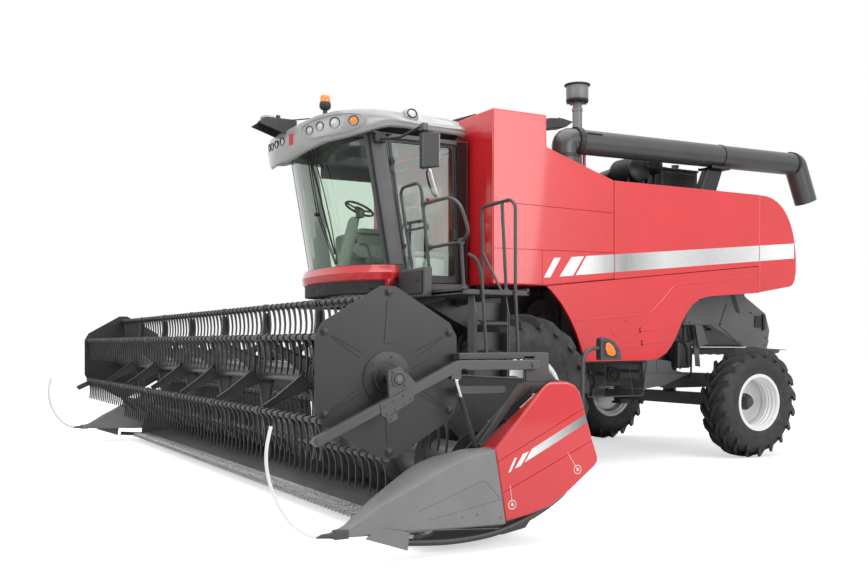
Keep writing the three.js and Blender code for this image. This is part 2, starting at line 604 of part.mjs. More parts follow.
function headerTrough() {
  const { half, knifeY, rear, top, sheet, back, throat } = HEADER;
  const panRadius = AUGER.flight + 30;
  const pan = new THREE.Shape();
  pan.moveTo(knifeY - 60, KNIFE_BED - 28);
  pan.lineTo(knifeY - 60, KNIFE_BED);
  pan.lineTo(knifeY, KNIFE_BED);
  pan.lineTo(AUGER.y - 250, AUGER.z - panRadius + 22);
  for (let i = 0; i <= 6; i++) {
    const a = THREE.MathUtils.degToRad(-105 + i * 16);
    pan.lineTo(AUGER.y + panRadius * Math.cos(a), AUGER.z + panRadius * Math.sin(a));
  }
  pan.lineTo(back - sheet, AUGER.z + 20);
  pan.lineTo(back - sheet, top);
  pan.lineTo(back, top);
  pan.lineTo(back, 330);
  pan.lineTo(AUGER.y + 130, 90);
  pan.lineTo(AUGER.y - 60, 60);
  const end = [[knifeY + 20, 60], [knifeY + 20, 200], [-2560, 640], [ARM.y - 40, top], [ARM.y - 40, ARM.z + 60],
    [ARM.y + 60, ARM.z + 60], [back + 80, top], [back, top], [back, 330], [AUGER.y + 130, 90], [AUGER.y - 60, 60]];
  const beam = [[AUGER.y - 60, 60], [AUGER.y + 130, 90], [back, 331], [back, 110]];    // stiffens the pan's underside
  const pieces = [prism('x', pan, -half, half), prism('x', beam, -HEADER.beam, HEADER.beam)];
  for (const s of [-1, 1]) {
    pieces.push(sidePrism(s, end, half - 1, half + sheet));
    pieces.push(bar([s * (half - 5), ARM.y, ARM.z], [s * (ARM.x - ARM.half - 0.5), ARM.y, ARM.z], 26));
    pieces.push(bar([s * (half - 5), ...REEL_LIFT.foot],
      [s * (ARM.x - REEL_LIFT.radius - 0.5), ...REEL_LIFT.foot], 18));
    for (const x of [half / 3, (half * 5) / 7]) pieces.push(sideBox(s, x - 60, x + 60, -2700, -2000, 0, 80));
  }
  return cut(join(...pieces), box(-throat, throat, back - 200, rear + 50, 260, 940));
}

// Box beams behind the back sheet, which hang the header on the feeder house.
function headerFrame() {
  const { half, beam, rear, top, back } = HEADER;
  const front = back + GAP;
  const pieces = [box(-half, half, front, rear, top - 150, top), box(-beam, beam, front, rear, 150, 320)];
  for (const s of [-1, 1]) {
    pieces.push(sideBox(s, 600, 680, front, rear, 200, top - 20));
    pieces.push(sideBox(s, half - 30, half, front, rear, 420, top - 20));
    pieces.push(sideBox(s, beam - 40, beam, front, rear, 300, top - 20));
  }
  return cut(join(...pieces), box(-HEADER.throat, HEADER.throat, front - 10, rear + 10, 260, 940));
}

function knifeBar() {
  const end = HEADER.half - 60;
  return box(-end, end, HEADER.knifeY - 75, HEADER.knifeY - 4, KNIFE_BED + GAP, KNIFE_BED + 10);
}

function crossAuger() {
  const { y, z, tube, flight, pitch } = AUGER;
  const end = HEADER.half - 8;
  const shaft = HEADER.half - 1.5;
  const pieces = [bar([-end, y, z], [end, y, z], tube, 20), bar([-shaft, y, z], [shaft, y, z], 40, 16)];
  for (const s of [-1, 1]) {
    pieces.push(helix(s, 640, end - 30, pitch, tube - 6, flight).translate(0, y, z));
  }
  return join(...pieces);
}

// A strip wound about the x axis, from one distance along it to another, on side s.
function helix(s, from, to, pitch, inner, outer) {
  const perTurn = 7;
  const count = Math.round(((to - from) / pitch) * perTurn);
  const position = [];
  const index = [];
  const thick = 10;
  for (let i = 0; i <= count; i++) {
    const along = from + ((to - from) * i) / count;
    const a = (i / perTurn) * 2 * Math.PI;
    for (const [r, d] of [[inner, 0], [outer, 0], [outer, thick], [inner, thick]]) {
      position.push(s * (along + d), r * Math.cos(a), r * Math.sin(a));
    }
  }
  for (let i = 0; i < count; i++) {
    for (let k = 0; k < 4; k++) {
      const [a, b] = [i * 4 + k, i * 4 + ((k + 1) % 4)];
      index.push(a, b, b + 4, a, b + 4, a + 4);
    }
  }
  const last = count * 4;
  index.push(0, 2, 1, 0, 3, 2, last, last + 1, last + 2, last, last + 2, last + 3);
  const geometry = new THREE.BufferGeometry();
  geometry.setAttribute('position', new THREE.Float32BufferAttribute(position, 3));
  geometry.setIndex(index);
  return geometry;
}

function endShield() {
  const profile = [[-2330, 210], [-2400, 690], [-1975, 1160], [-1790, 1162], [-1690, 1090], [-1540, 610],
    [-1550, 530], [-1790, 390], [-1920, 300]];
  const { inner, outer } = SHIELD;
  return join(prism('x', profile, inner, outer),
    box(HEADER.half + HEADER.sheet + GAP, inner + 10, -2200, -1850, 420, 520));
}

function dividerNose() {
  const profile = [[-3570, 195], [-3570, 235], [-3410, 300], [-3290, 420], [-3170, 540], [-2990, 640], [-2820, 690],
    [-2690, 712], [-2402, 690], [-2332, 200], [-2500, 90], [-3060, 130]];
  const { outer } = SHIELD;
  const inner = HEADER.half + HEADER.sheet + GAP;
  const step = HEADER.half + 85;                          // outside of the reel arm's lift cylinder
  const plan = [[outer, -2330], [outer, -3570], [outer - 40, -3600], [outer - 60, -3570], [outer - 200, -3200],
    [outer - 270, -2850], [outer - 270, -2780], [inner, -2775], [inner, -2500], [step, -2500], [step, -2330]];
  const body = common(prism('x', profile, outer - 300, outer), prism('z', plan, 0, HEADER.top));
  const x = outer - 10;
  const rod = pipe([[x - 20, -3540, 216], [x - 10, -3680, 222], [x, -3890, 320], [x, -4030, 560], [x, -4055, 760],
    [x, -4020, 930]], 11, 16, 8);
  return join(body, rod);
}

// ---------------------------------------------------------------- reel
function reelFrame() {
  const { half, plate, bar: barR, tube, count, bays, barRadius } = REEL;
  const sheet = 8;
  const sides = 12;
  const pieces = [bar([-half, 0, 0], [half, 0, 0], tube, 14), bar([-ARM.x - 20, 0, 0], [ARM.x + 20, 0, 0], 24, 12)];
  const hexagon = [];
  for (let i = 0; i < count; i++) {
    const a = ((i + 1) / count) * 2 * Math.PI;
    hexagon.push([plate * Math.sin(a), plate * Math.cos(a)]);
  }
  for (const s of [-1, 1]) pieces.push(sidePrism(s, hexagon, half - sheet, half));
  const tip = barR - 30;
  const spoke = [[-60, -tip * 0.64], [-60, tip * 0.64], [-40, tip], [40, tip], [60, tip * 0.64], [60, -tip * 0.64],
    [40, -tip], [-40, -tip]];
  for (let k = 1; k < bays; k++) {
    const x = -half + (k * 2 * half) / bays;
    for (let i = 0; i < count / 2; i++) {
      pieces.push(prism('x', spoke, x - sheet / 2, x + sheet / 2).rotateX((i / count) * 2 * Math.PI));
    }
  }
  const bore = (barRadius + GAP) / Math.cos(Math.PI / sides);
  const holes = [];
  for (let i = 0; i < count; i++) {
    const a = (i / count) * 2 * Math.PI;
    const at = [barR * Math.sin(a), barR * Math.cos(a)];
    holes.push(bar([-half - 50, ...at], [half + 50, ...at], bore, sides));
  }
  return cut(join(...pieces), ...holes);
}

function reelArm() {
  const { x, y, z, half, depth } = ARM;
  const d = depth / 2;
  const knee = -2600;
  const side = [[y + 60, z - d], [y + 60, z + d], [knee, z + d], [-3678, 829], [-3655, 768], [knee + 65, z - d]];
  const bearing = [[REEL.y + 120, REEL.z - 10], [REEL.y + 70, REEL.z + 80], [REEL.y - 70, REEL.z + 80],
    [REEL.y - 160, REEL.z - 170], [REEL.y - 130, REEL.z - 250], [REEL.y + 100, REEL.z - 150]];
  const [eyeY, eyeZ] = REEL_LIFT.eye;
  return cut(
    join(prism('x', side, x - half, x + half), prism('x', bearing, x - half, x + half),
      box(x - half, x + half, eyeY - 40, eyeY + 40, eyeZ, z + 20)),
    bar([x - 100, REEL.y, REEL.z], [x + 100, REEL.y, REEL.z], 24.6, 20),
  );
}

// ---------------------------------------------------------------- hydraulic cylinders
function cylinder(foot, eye, radius, x, share) {
  const start = new THREE.Vector3(x, ...foot);
  const along = new THREE.Vector3(x, ...eye).sub(start);
  const length = along.length();
  const at = (t) => start.clone().addScaledVector(along, t / length).toArray();
  const across = (centre, half, r) => bar([x - half, ...centre.slice(1)], [x + half, ...centre.slice(1)], r, 16);
  const rodRadius = radius * 0.55;
  const barrel = cut(join(bar(at(0), at(length * share), radius, 16), across(at(0), radius, radius * 1.1)),
    bar(at(radius * 2.4), at(length), rodRadius + 0.5, 16));
  const rod = join(bar(at(length * share * 0.35), at(length - radius * 1.6), rodRadius, 16),
    across(at(length - radius * 1.2), radius * 0.9, radius * 0.8));
  return [barrel, rod];
}

// ---------------------------------------------------------------- assembly
const machine = new THREE.Group();

function add(parent, name, geometry, material, place = [0, 0, 0]) {
  const mesh = new THREE.Mesh(geometry, material);
  mesh.name = name;
  mesh.position.set(...place);
  parent.add(mesh);
  return mesh;
}

const running = new THREE.Group();
add(running, 'main_frame', mainFrame(), CHARCOAL);
add(running, 'front_axle', frontAxle(), CHARCOAL);
add(running, 'rear_axle', rearAxle(), CHARCOAL);
for (const [side, s] of [['left', 1], ['right', -1]]) {
  add(running, `knuckle_${side}`, knuckle(s), CHARCOAL);
  for (const [end, wheel, y] of [['front', FRONT, 0], ['rear', REAR, WHEELBASE]]) {
    const place = [s * wheel.x, y, wheel.radius];
    add(running, `${end}_tyre_${side}`, tyre(wheel), RUBBER, place);
    add(running, `${end}_rim_${side}`, s > 0 ? rim(wheel) : mirrored(rim(wheel)), SILVER, place);
  }
}
machine.add(running);

const body = new THREE.Group();
add(body, 'separator_housing', separatorHousing(), CHARCOAL);
add(body, 'grain_tank', grainTank(), RED);
add(body, 'upper_panel_left', upperPanel(), RED);
add(body, 'upper_panel_right', mirrored(upperPanel()), RED);
add(body, 'side_door_left', sideDoor(), RED);
add(body, 'side_door_right', mirrored(sideDoor()), RED);
add(body, 'rear_hood', rearHood(), RED);
add(body, 'straw_chopper', strawChopper(), GREY);
add(body, 'engine_block', box(-650, 450, 1500, 2450, HOUSING.top + GAP, 3120), CHARCOAL);
add(body, 'engine_deck', engineDeck(), BLACK);
add(body, 'auger_turret', augerTurret(), CHARCOAL);
add(body, 'unloading_tube', unloadingTube(), CHARCOAL);
machine.add(body);

const cab = new THREE.Group();
add(cab, 'cab_shell', cabShell(), CHARCOAL);
add(cab, 'cab_skirt', cabSkirt(), RED);
add(cab, 'cab_roof', cabRoof(), ROOF_GREY);
add(cab, 'cab_glazing', cabGlazing(), GLASS);
add(cab, 'cab_door', cabDoor(), CHARCOAL);
add(cab, 'door_glass', doorGlass(), GLASS);
add(cab, 'operator_station', operatorStation(), FABRIC);
add(cab, 'mirror_left', mirror(), BLACK);
add(cab, 'mirror_right', mirrored(mirror()), BLACK);
add(cab, 'platform', platform(), CHARCOAL);
add(cab, 'ladder', ladder(), CHARCOAL);
machine.add(cab);

const header = new THREE.Group();
add(header, 'feeder_house', feederHouse(), CHARCOAL);
add(header, 'header_trough', headerTrough(), CHARCOAL);
add(header, 'header_frame', headerFrame(), CHARCOAL);
add(header, 'knife_bar', knifeBar(), STEEL);
add(header, 'cross_auger', crossAuger(), CHARCOAL);
for (const [side, s] of [['left', 1], ['right', -1]]) {
  add(header, `end_shield_${side}`, s > 0 ? endShield() : mirrored(endShield()), RED);
  add(header, `divider_nose_${side}`, s > 0 ? dividerNose() : mirrored(dividerNose()), GREY);
  add(header, `reel_arm_${side}`, s > 0 ? reelArm() : mirrored(reelArm()), CHARCOAL);
  const [barrel, rod] = cylinder(REEL_LIFT.foot, REEL_LIFT.eye, REEL_LIFT.radius, s * ARM.x, 0.72);
  add(header, `reel_cylinder_${side}`, barrel, BLACK);
  add(header, `reel_rod_${side}`, rod, STEEL);
}
machine.add(header);

const reel = new THREE.Group();
reel.position.set(0, REEL.y, REEL.z);
add(reel, 'reel_frame', reelFrame(), CHARCOAL);
for (let i = 0; i < REEL.count; i++) {
  const a = (i / REEL.count) * 2 * Math.PI;
  const place = [0, REEL.bar * Math.sin(a), REEL.bar * Math.cos(a)];
  const tineBar = bar([-REEL.half - 30, 0, 0], [REEL.half + 30, 0, 0], REEL.barRadius, 12);
  add(reel, `tine_bar_${i + 1}`, tineBar, CHARCOAL, place);
}
machine.add(reel);

const lifts = [LIFT.x, -LIFT.x].map((x) => cylinder(LIFT.foot, LIFT.eye, LIFT.radius, x, 0.7));
const footPin = LIFT.x + LIFT.radius + 2.5;
const eyePin = [LIFT.eye[0] + 62, LIFT.eye[1] + 10];
add(header, 'lift_cylinders', join(...lifts.map(([barrel]) => barrel),
  bar([-footPin, ...LIFT.foot], [footPin, ...LIFT.foot], LIFT.rail)), BLACK);
add(header, 'lift_rods', join(...lifts.map(([, rod]) => rod),
  bar([-LIFT.x, ...eyePin], [LIFT.x, ...eyePin], LIFT.rail - 5)), STEEL);

// The origin is the middle of the whole machine's footprint, on the ground.
const extent = new THREE.Box3().setFromObject(machine);
machine.position.y = -(extent.min.y + extent.max.y) / 2;
machine.position.x = -(extent.min.x + extent.max.x) / 2;
const model = new THREE.Group();
model.add(machine);
model.updateMatrixWorld(true);

export default model;
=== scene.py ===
"""Looks of a combine harvester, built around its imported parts. Lengths are in metres."""
import json
import math
import random

import bpy
from mathutils import Matrix, Vector


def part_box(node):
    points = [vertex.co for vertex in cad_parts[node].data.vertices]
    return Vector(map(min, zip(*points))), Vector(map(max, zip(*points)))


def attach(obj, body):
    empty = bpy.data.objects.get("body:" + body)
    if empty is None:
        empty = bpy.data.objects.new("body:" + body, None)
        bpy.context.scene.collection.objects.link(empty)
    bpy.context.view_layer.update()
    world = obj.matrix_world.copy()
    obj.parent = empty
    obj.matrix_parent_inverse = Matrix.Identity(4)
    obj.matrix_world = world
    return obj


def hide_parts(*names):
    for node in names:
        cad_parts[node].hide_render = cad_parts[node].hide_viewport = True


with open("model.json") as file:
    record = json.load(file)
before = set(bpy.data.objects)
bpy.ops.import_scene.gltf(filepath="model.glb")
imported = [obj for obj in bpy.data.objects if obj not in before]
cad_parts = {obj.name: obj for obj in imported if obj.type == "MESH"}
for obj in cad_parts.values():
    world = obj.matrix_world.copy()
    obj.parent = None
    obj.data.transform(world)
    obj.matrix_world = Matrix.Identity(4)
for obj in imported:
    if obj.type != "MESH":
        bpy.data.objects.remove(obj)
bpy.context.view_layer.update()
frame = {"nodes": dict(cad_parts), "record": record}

# Most sizes below are measured from the front axle, x outwards to the left and y to the rear.
tyre_low, tyre_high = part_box("front_tyre_left")
AXLE_Y = (tyre_low.y + tyre_high.y) / 2
TO_AXLE = Matrix.Translation((0, AXLE_Y, 0))
SMOOTH_ANGLE = math.radians(38)
SIDES = ((1, "left"), (-1, "right"))


# ---------------------------------------------------------------- workbench
def pick(*pieces):
    bpy.ops.object.select_all(action="DESELECT")
    for piece in pieces:
        piece.select_set(True)
    bpy.context.view_layer.objects.active = pieces[0]
    return pieces[0]


def fresh(name):
    piece = bpy.context.object
    piece.name = name
    piece.data.name = name
    return piece


def edit(piece, work):
    """Runs work in edit mode with everything selected."""
    pick(piece)
    bpy.ops.object.mode_set(mode="EDIT")
    bpy.ops.mesh.select_all(action="SELECT")
    work()
    bpy.ops.object.mode_set(mode="OBJECT")
    return piece


def face_outwards(piece, gap=1e-5):
    def work():
        bpy.ops.mesh.remove_doubles(threshold=gap)
        bpy.ops.mesh.normals_make_consistent(inside=False)
    return edit(piece, work)


def outline(name, points, fill="NGON"):
    """A flat face whose corners are the points."""
    bpy.ops.object.select_all(action="DESELECT")
    bpy.ops.mesh.primitive_circle_add(vertices=len(points), fill_type=fill)
    piece = fresh(name)
    for vertex, point in zip(piece.data.vertices, points):
        vertex.co = point
    return piece


def in_plane(axis, level, a, b):
    return {"x": (level, a, b), "y": (a, level, b), "z": (a, b, level)}[axis]


def plate(name, axis, points, start, end, edge=0.0, segments=2):
    """An outline in the plane across an axis, extruded from start to end, its edges rounded."""
    piece = outline(name, [in_plane(axis, start, a, b) for a, b in points])
    push = in_plane(axis, end - start, 0, 0)

    def work():
        bpy.ops.mesh.extrude_region_move(TRANSFORM_OT_translate={"value": push})
        bpy.ops.mesh.select_all(action="SELECT")
        bpy.ops.mesh.normals_make_consistent(inside=False)
    edit(piece, work)
    return softened(piece, edge, segments) if edge else piece


def block(name, low, high, edge=0.006, segments=2):
    low, high = Vector(low), Vector(high)
    points = [(low.x, low.y), (high.x, low.y), (high.x, high.y), (low.x, high.y)]
    return plate(name, "z", points, low.z, high.z, edge, segments)


def softened(piece, width, segments=2, angle=30):
    """Rounds the sharp edges and shades the flats flat."""
    pick(piece)
    bpy.ops.object.shade_smooth()
    bevel = piece.modifiers.new("edges", "BEVEL")
    bevel.width = width
    bevel.segments = segments
    bevel.limit_method = "ANGLE"
    bevel.angle_limit = math.radians(angle)
    bevel.harden_normals = True
    bpy.ops.object.modifier_apply(modifier=bevel.name)
    return piece


def smoothed(piece, angle=SMOOTH_ANGLE):
    pick(piece)
    bpy.ops.object.shade_smooth_by_angle(angle=angle)
    return piece


def reshaded(piece, angle=30):
    """Shades a reworked piece anew: flat on its large faces, round on its edges."""
    pick(piece)
    bpy.ops.mesh.customdata_custom_splitnormals_clear()
    bpy.ops.object.shade_smooth_by_angle(angle=math.radians(angle))
    weighted = piece.modifiers.new("weighted", "WEIGHTED_NORMAL")
    weighted.keep_sharp = True
    weighted.weight = 100
    bpy.ops.object.modifier_apply(modifier=weighted.name)
    return piece


def turned(name, axis, profile, centre=(0, 0, 0), steps=32):
    """A solid of revolution. Profile points are (distance along the axis, radius) from the centre."""
    centre = Vector(centre)
    lift = {"x": lambda a, r: (a, 0, r), "y": lambda a, r: (0, a, r), "z": lambda a, r: (r, 0, a)}[axis]
    piece = outline(name, [centre + Vector(lift(a, r)) for a, r in profile], "NOTHING")

    def work():
        bpy.ops.mesh.spin(steps=steps, angle=2 * math.pi, center=centre, axis=in_plane(axis, 1, 0, 0))
        bpy.ops.mesh.select_all(action="SELECT")
        bpy.ops.mesh.remove_doubles(threshold=2e-5)
        bpy.ops.mesh.dissolve_degenerate(threshold=1e-5)
        bpy.ops.mesh.select_all(action="SELECT")
        bpy.ops.mesh.normals_make_consistent(inside=False)
    edit(piece, work)
    return smoothed(piece)


def lofted(name, rings, closed=True, capped=True, angle=SMOOTH_ANGLE):
    """A skin over rings of points, one ring after the other along the piece."""
    columns, rows = len(rings[0]) + (1 if closed else 0), len(rings)
    bpy.ops.object.select_all(action="DESELECT")
    bpy.ops.mesh.primitive_grid_add(x_subdivisions=columns - 1, y_subdivisions=rows - 1)
    piece = fresh(name)
    for index, vertex in enumerate(piece.data.vertices):
        ring = rings[index // columns]
        vertex.co = ring[(index % columns) % len(ring)]

    def work():
        bpy.ops.mesh.remove_doubles(threshold=1e-5)
        if capped:
            bpy.ops.mesh.select_all(action="DESELECT")
            bpy.ops.mesh.select_mode(type="EDGE")
            bpy.ops.mesh.select_non_manifold()
            bpy.ops.mesh.fill_holes(sides=0)
            bpy.ops.mesh.select_mode(type="FACE")
        bpy.ops.mesh.select_all(action="SELECT")
        bpy.ops.mesh.dissolve_degenerate(threshold=1e-5)
        bpy.ops.mesh.select_all(action="SELECT")
        bpy.ops.mesh.normals_make_consistent(inside=False)
    edit(piece, work)
    return smoothed(piece, angle)


def follow(points, at):
    """The value of a line of (position, value) points at a position."""
    if at <= points[0][0]:
        return points[0][1]
    for (a, va), (b, vb) in zip(points, points[1:]):
        if at <= b:
            return va + (vb - va) * (at - a) / (b - a)
    return points[-1][1]


def rounded_path(points, bend, steps=5):
    """The points joined by straight runs, with an arc of about the bend's radius at each inner corner."""
    points = [Vector(p) for p in points]
    path = [points[0]]
    for before, corner, after in zip(points, points[1:], points[2:]):
        back, ahead = (before - corner), (after - corner)
        reach = min(bend, back.length * 0.48, ahead.length * 0.48)
        start, end = corner + back.normalized() * reach, corner + ahead.normalized() * reach
        for i in range(steps + 1):
            t = i / steps
            path.append(start * (1 - t) ** 2 + corner * 2 * t * (1 - t) + end * t ** 2)
    path.append(points[-1])
    return path


def pipe(name, points, radius, bend=0.06, sides=3):
    """A round bar along the points. More sides make it rounder."""
    bpy.ops.object.select_all(action="DESELECT")
    bpy.ops.curve.primitive_nurbs_path_add()
    piece = fresh(name)
    curve = piece.data
    curve.splines.clear()
    path = rounded_path(points, bend) if bend else [Vector(p) for p in points]
    spline = curve.splines.new("POLY")
    spline.points.add(len(path) - 1)
    for point, place in zip(spline.points, path):
        point.co = (*place, 1)
    curve.dimensions = "3D"
    curve.bevel_depth = radius
    curve.bevel_resolution = sides
    curve.use_fill_caps = True
    bpy.ops.object.convert(target="MESH")
    piece = bpy.context.object
    piece.name = name
    face_outwards(piece)
    return smoothed(piece)


def rod(name, start, end, radius, sides=16, edge=0.0):
    """A straight round bar between two points, its ends rounded over."""
    start, end = Vector(start), Vector(end)
    bpy.ops.object.select_all(action="DESELECT")
    bpy.ops.mesh.primitive_cylinder_add(vertices=sides, radius=radius, depth=(end - start).length)
    piece = fresh(name)
    turn = (end - start).to_track_quat("Z", "Y").to_matrix().to_4x4()
    piece.data.transform(Matrix.Translation((start + end) / 2) @ turn)
    if edge:
        return softened(piece, edge, 2, 50)
    return smoothed(piece)


def twin(piece, name):
    copy = piece.copy()
    copy.data = piece.data.copy()
    copy.name = copy.data.name = name
    bpy.context.scene.collection.objects.link(copy)
    return copy


def across(piece, name):
    """The mirror image of a piece on the machine's other side."""
    copy = twin(piece, name)
    copy.data.transform(Matrix.Scale(-1, 4, (1, 0, 0)))
    edit(copy, lambda: bpy.ops.mesh.flip_normals())
    return copy


def moved(piece, *offset):
    piece.data.transform(Matrix.Translation(offset))
    return piece


def spun(piece, axis, degrees, centre=(0, 0, 0)):
    turn = Matrix.Rotation(math.radians(degrees), 4, axis)
    piece.data.transform(Matrix.Translation(centre) @ turn @ Matrix.Translation(-Vector(centre)))
    return piece


def joined(name, *pieces):
    flat = []
    for piece in pieces:
        flat.extend(piece if isinstance(piece, (list, tuple)) else [piece])
    pick(*flat)
    if len(flat) > 1:
        bpy.ops.object.join()
    return fresh(name)


def row(piece, count, step):
    pick(piece)
    array = piece.modifiers.new("row", "ARRAY")
    array.count = count
    array.use_relative_offset = False
    array.use_constant_offset = True
    array.constant_offset_displace = step
    bpy.ops.object.modifier_apply(modifier=array.name)
    return piece


def cut_out(piece, tool):
    """Takes the tool's shape out of a piece."""
    pick(piece)
    cutter = piece.modifiers.new("cut", "BOOLEAN")
    cutter.operation = "DIFFERENCE"
    cutter.solver = "EXACT"
    cutter.object = tool
    bpy.ops.object.modifier_apply(modifier=cutter.name)
    bpy.ops.mesh.customdata_custom_splitnormals_clear()
    pick(tool)
    bpy.ops.object.delete()
    return piece


def from_cad(node, name):
    """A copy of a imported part's mesh, its loose triangles merged into flat faces."""
    bpy.ops.object.select_all(action="DESELECT")
    source = frame["nodes"][node]
    copy = bpy.data.objects.new(name, source.data.copy())
    bpy.context.scene.collection.objects.link(copy)
    copy.data.materials.clear()

    def work():
        bpy.ops.mesh.remove_doubles(threshold=2e-5)
        bpy.ops.mesh.dissolve_limited(angle_limit=math.radians(0.6))
        bpy.ops.mesh.delete_loose()
    edit(copy, work)
    return copy


def on_axle(piece):
    """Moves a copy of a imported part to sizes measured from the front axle."""
    piece.data.transform(TO_AXLE.inverted())
    return piece


def groove(piece, point, normal, wanted, width=0.005, depth=0.006):
    """Cuts a narrow groove where a plane crosses the faces that are wanted."""
    point, normal = Vector(point), Vector(normal).normalized()
    pick(piece)
    for polygon in piece.data.polygons:
        polygon.select = wanted(polygon)
    for rim_edge in piece.data.edges:
        rim_edge.select = False
    for vertex in piece.data.vertices:
        vertex.select = False
    chosen = [p.index for p in piece.data.polygons if wanted(p)]
    if not chosen:
        return piece
    inward = -sum((piece.data.polygons[i].normal for i in chosen), Vector()).normalized()
    bpy.ops.object.mode_set(mode="EDIT")
    bpy.ops.mesh.select_mode(type="FACE")
    bpy.ops.mesh.bisect(plane_co=point, plane_no=normal)
    bpy.ops.mesh.select_mode(type="EDGE")
    bpy.ops.mesh.bevel(offset=width / 2, segments=2, affect="EDGES")
    bpy.ops.object.mode_set(mode="OBJECT")
    for vertex in piece.data.vertices:
        if vertex.select and abs((vertex.co - point).dot(normal)) < width * 0.1:
            vertex.co += inward * depth
    return piece


def seat(piece, body, slot, finish, *nodes, shift=True):
    """Puts a finished piece in its place on a body, with its finish, in place of the named nodes."""
    if shift:
        piece.data.transform(TO_AXLE)
    piece.data.materials.clear()
    piece.data.materials.append(finish)
    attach(piece, body)
    if nodes:
        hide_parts(*nodes)
    return piece


# ---------------------------------------------------------------- finishes
def finish(name):
    """A new material with its shader, and the object's own coordinates to build its pattern from."""
    material = bpy.data.materials.new(name)
    material.use_nodes = True
    tree = material.node_tree
    shader = tree.nodes["Principled BSDF"]
    place = tree.nodes.new("ShaderNodeTexCoord").outputs["Object"]
    return material, tree, shader, place


def feed(tree, node, **sockets):
    """Fills a node's sockets: a link or a plain value. Underscores are blanks."""
    for name, source in sockets.items():
        socket = node.inputs[name.replace("_", " ")]
        if isinstance(source, bpy.types.NodeSocket):
            tree.links.new(source, socket)
        else:
            socket.default_value = source


def add_node(tree, kind, **sockets):
    node = tree.nodes.new("ShaderNode" + kind)
    feed(tree, node, **sockets)
    return node


def noise(tree, place, scale, detail=4.0, roughness=0.55, stretch=None):
    if stretch:
        place = add_node(tree, "Mapping", Scale=stretch, Vector=place).outputs["Vector"]
    grain = add_node(tree, "TexNoise", Scale=scale, Detail=detail, Roughness=roughness, Vector=place)
    return grain.outputs["Fac"]


def between(tree, factor, low, high, start=0.35, end=0.65):
    """A colour or a number that follows a pattern from low to high."""
    ramp = tree.nodes.new("ShaderNodeValToRGB")
    first, last = ramp.color_ramp.elements
    first.position, last.position = start, end
    first.color = (*low, 1) if isinstance(low, tuple) else (low, low, low, 1)
    last.color = (*high, 1) if isinstance(high, tuple) else (high, high, high, 1)
    tree.links.new(factor, ramp.inputs["Fac"])
    return ramp.outputs["Color"]


def raised(tree, shader, height, strength, distance=0.001):
    bump = add_node(tree, "Bump", Strength=strength, Distance=distance, Height=height)
    feed(tree, shader, Normal=bump.outputs["Normal"])


def shade(colour, factor):
    return tuple(min(1.0, c * factor) for c in colour)


def paint(name, colour, roughness, coat=0.0, metallic=0.0, mottle=0.06, grain=0.15, dust=0.0):
    """Sprayed paint: faint clouds in its colour and gloss, and the slight ripple of a sprayed coat."""
    material, tree, shader, place = finish(name)
    clouds = noise(tree, place, 1.6, 2)
    tone = between(tree, clouds, shade(colour, 1 - mottle), shade(colour, 1 + mottle))
    if dust:
        mix = tree.nodes.new("ShaderNodeMix")
        mix.data_type = "RGBA"
        settled = between(tree, noise(tree, place, 6, 6, 0.7), 0.0, dust, 0.45, 0.75)
        tree.links.new(settled, mix.inputs["Factor"])
        tree.links.new(tone, mix.inputs["A"])
        mix.inputs["B"].default_value = (0.22, 0.2, 0.18, 1)
        tone = mix.outputs["Result"]
    gloss = between(tree, noise(tree, place, 3.5, 3), roughness * 0.93, roughness * 1.07)
    feed(tree, shader, Base_Color=tone, Roughness=gloss, Metallic=metallic, Coat_Weight=coat,
            Coat_Roughness=0.06)
    raised(tree, shader, noise(tree, place, 260, 2), grain, 0.0003)
    return material


def moulded_plastic(name, colour, roughness, grain=0.3, scale=900):
    """Injection-moulded plastic with a fine leathery grain."""
    material, tree, shader, place = finish(name)
    feed(tree, shader, Base_Color=between(tree, noise(tree, place, 4, 4), shade(colour, 0.94),
            shade(colour, 1.06)), Roughness=between(tree, noise(tree, place, 14, 3), roughness * 0.88,
            roughness * 1.12))
    raised(tree, shader, noise(tree, place, scale, 2), grain, 0.0003)
    return material


def tyre_rubber():
    material, tree, shader, place = finish("tyre rubber")
    bloom = noise(tree, place, 7, 6, 0.65)
    feed(tree, shader, Base_Color=between(tree, bloom, (0.014, 0.014, 0.015), (0.03, 0.03, 0.031)),
            Roughness=between(tree, noise(tree, place, 22, 4), 0.5, 0.72))
    raised(tree, shader, noise(tree, place, 320, 3), 0.25, 0.0006)
    return material


def bright_zinc(name, colour, roughness, scale=60, metallic=0.9):
    """Zinc-plated steel with the spangle of its crystals."""
    material, tree, shader, place = finish(name)
    cells = add_node(tree, "TexVoronoi", Scale=scale, Vector=place).outputs["Distance"]
    feed(tree, shader, Base_Color=between(tree, cells, shade(colour, 0.85), shade(colour, 1.1), 0.1, 0.7),
            Roughness=between(tree, noise(tree, place, 40, 3), roughness * 0.8, roughness * 1.25),
            Metallic=metallic)
    return material


def safety_glass(name, tint):
    """Thin tinted glass that the eye and the lamps see through, and that mirrors at a glancing angle."""
    material, tree, shader, place = finish(name)
    feed(tree, shader, Base_Color=between(tree, noise(tree, place, 1.4, 2), shade(tint, 0.97), tint),
            Roughness=between(tree, noise(tree, place, 3, 3), 0.01, 0.035), Transmission_Weight=1.0,
            IOR=1.45)
    clear = add_node(tree, "BsdfTransparent", Color=(*tint, 1))
    mix = add_node(tree, "MixShader", Fac=add_node(tree, "LightPath").outputs["Is Shadow Ray"])
    out = tree.nodes["Material Output"]
    tree.links.new(shader.outputs["BSDF"], mix.inputs[1])
    tree.links.new(clear.outputs["BSDF"], mix.inputs[2])
    tree.links.new(mix.outputs["Shader"], out.inputs["Surface"])
    return material


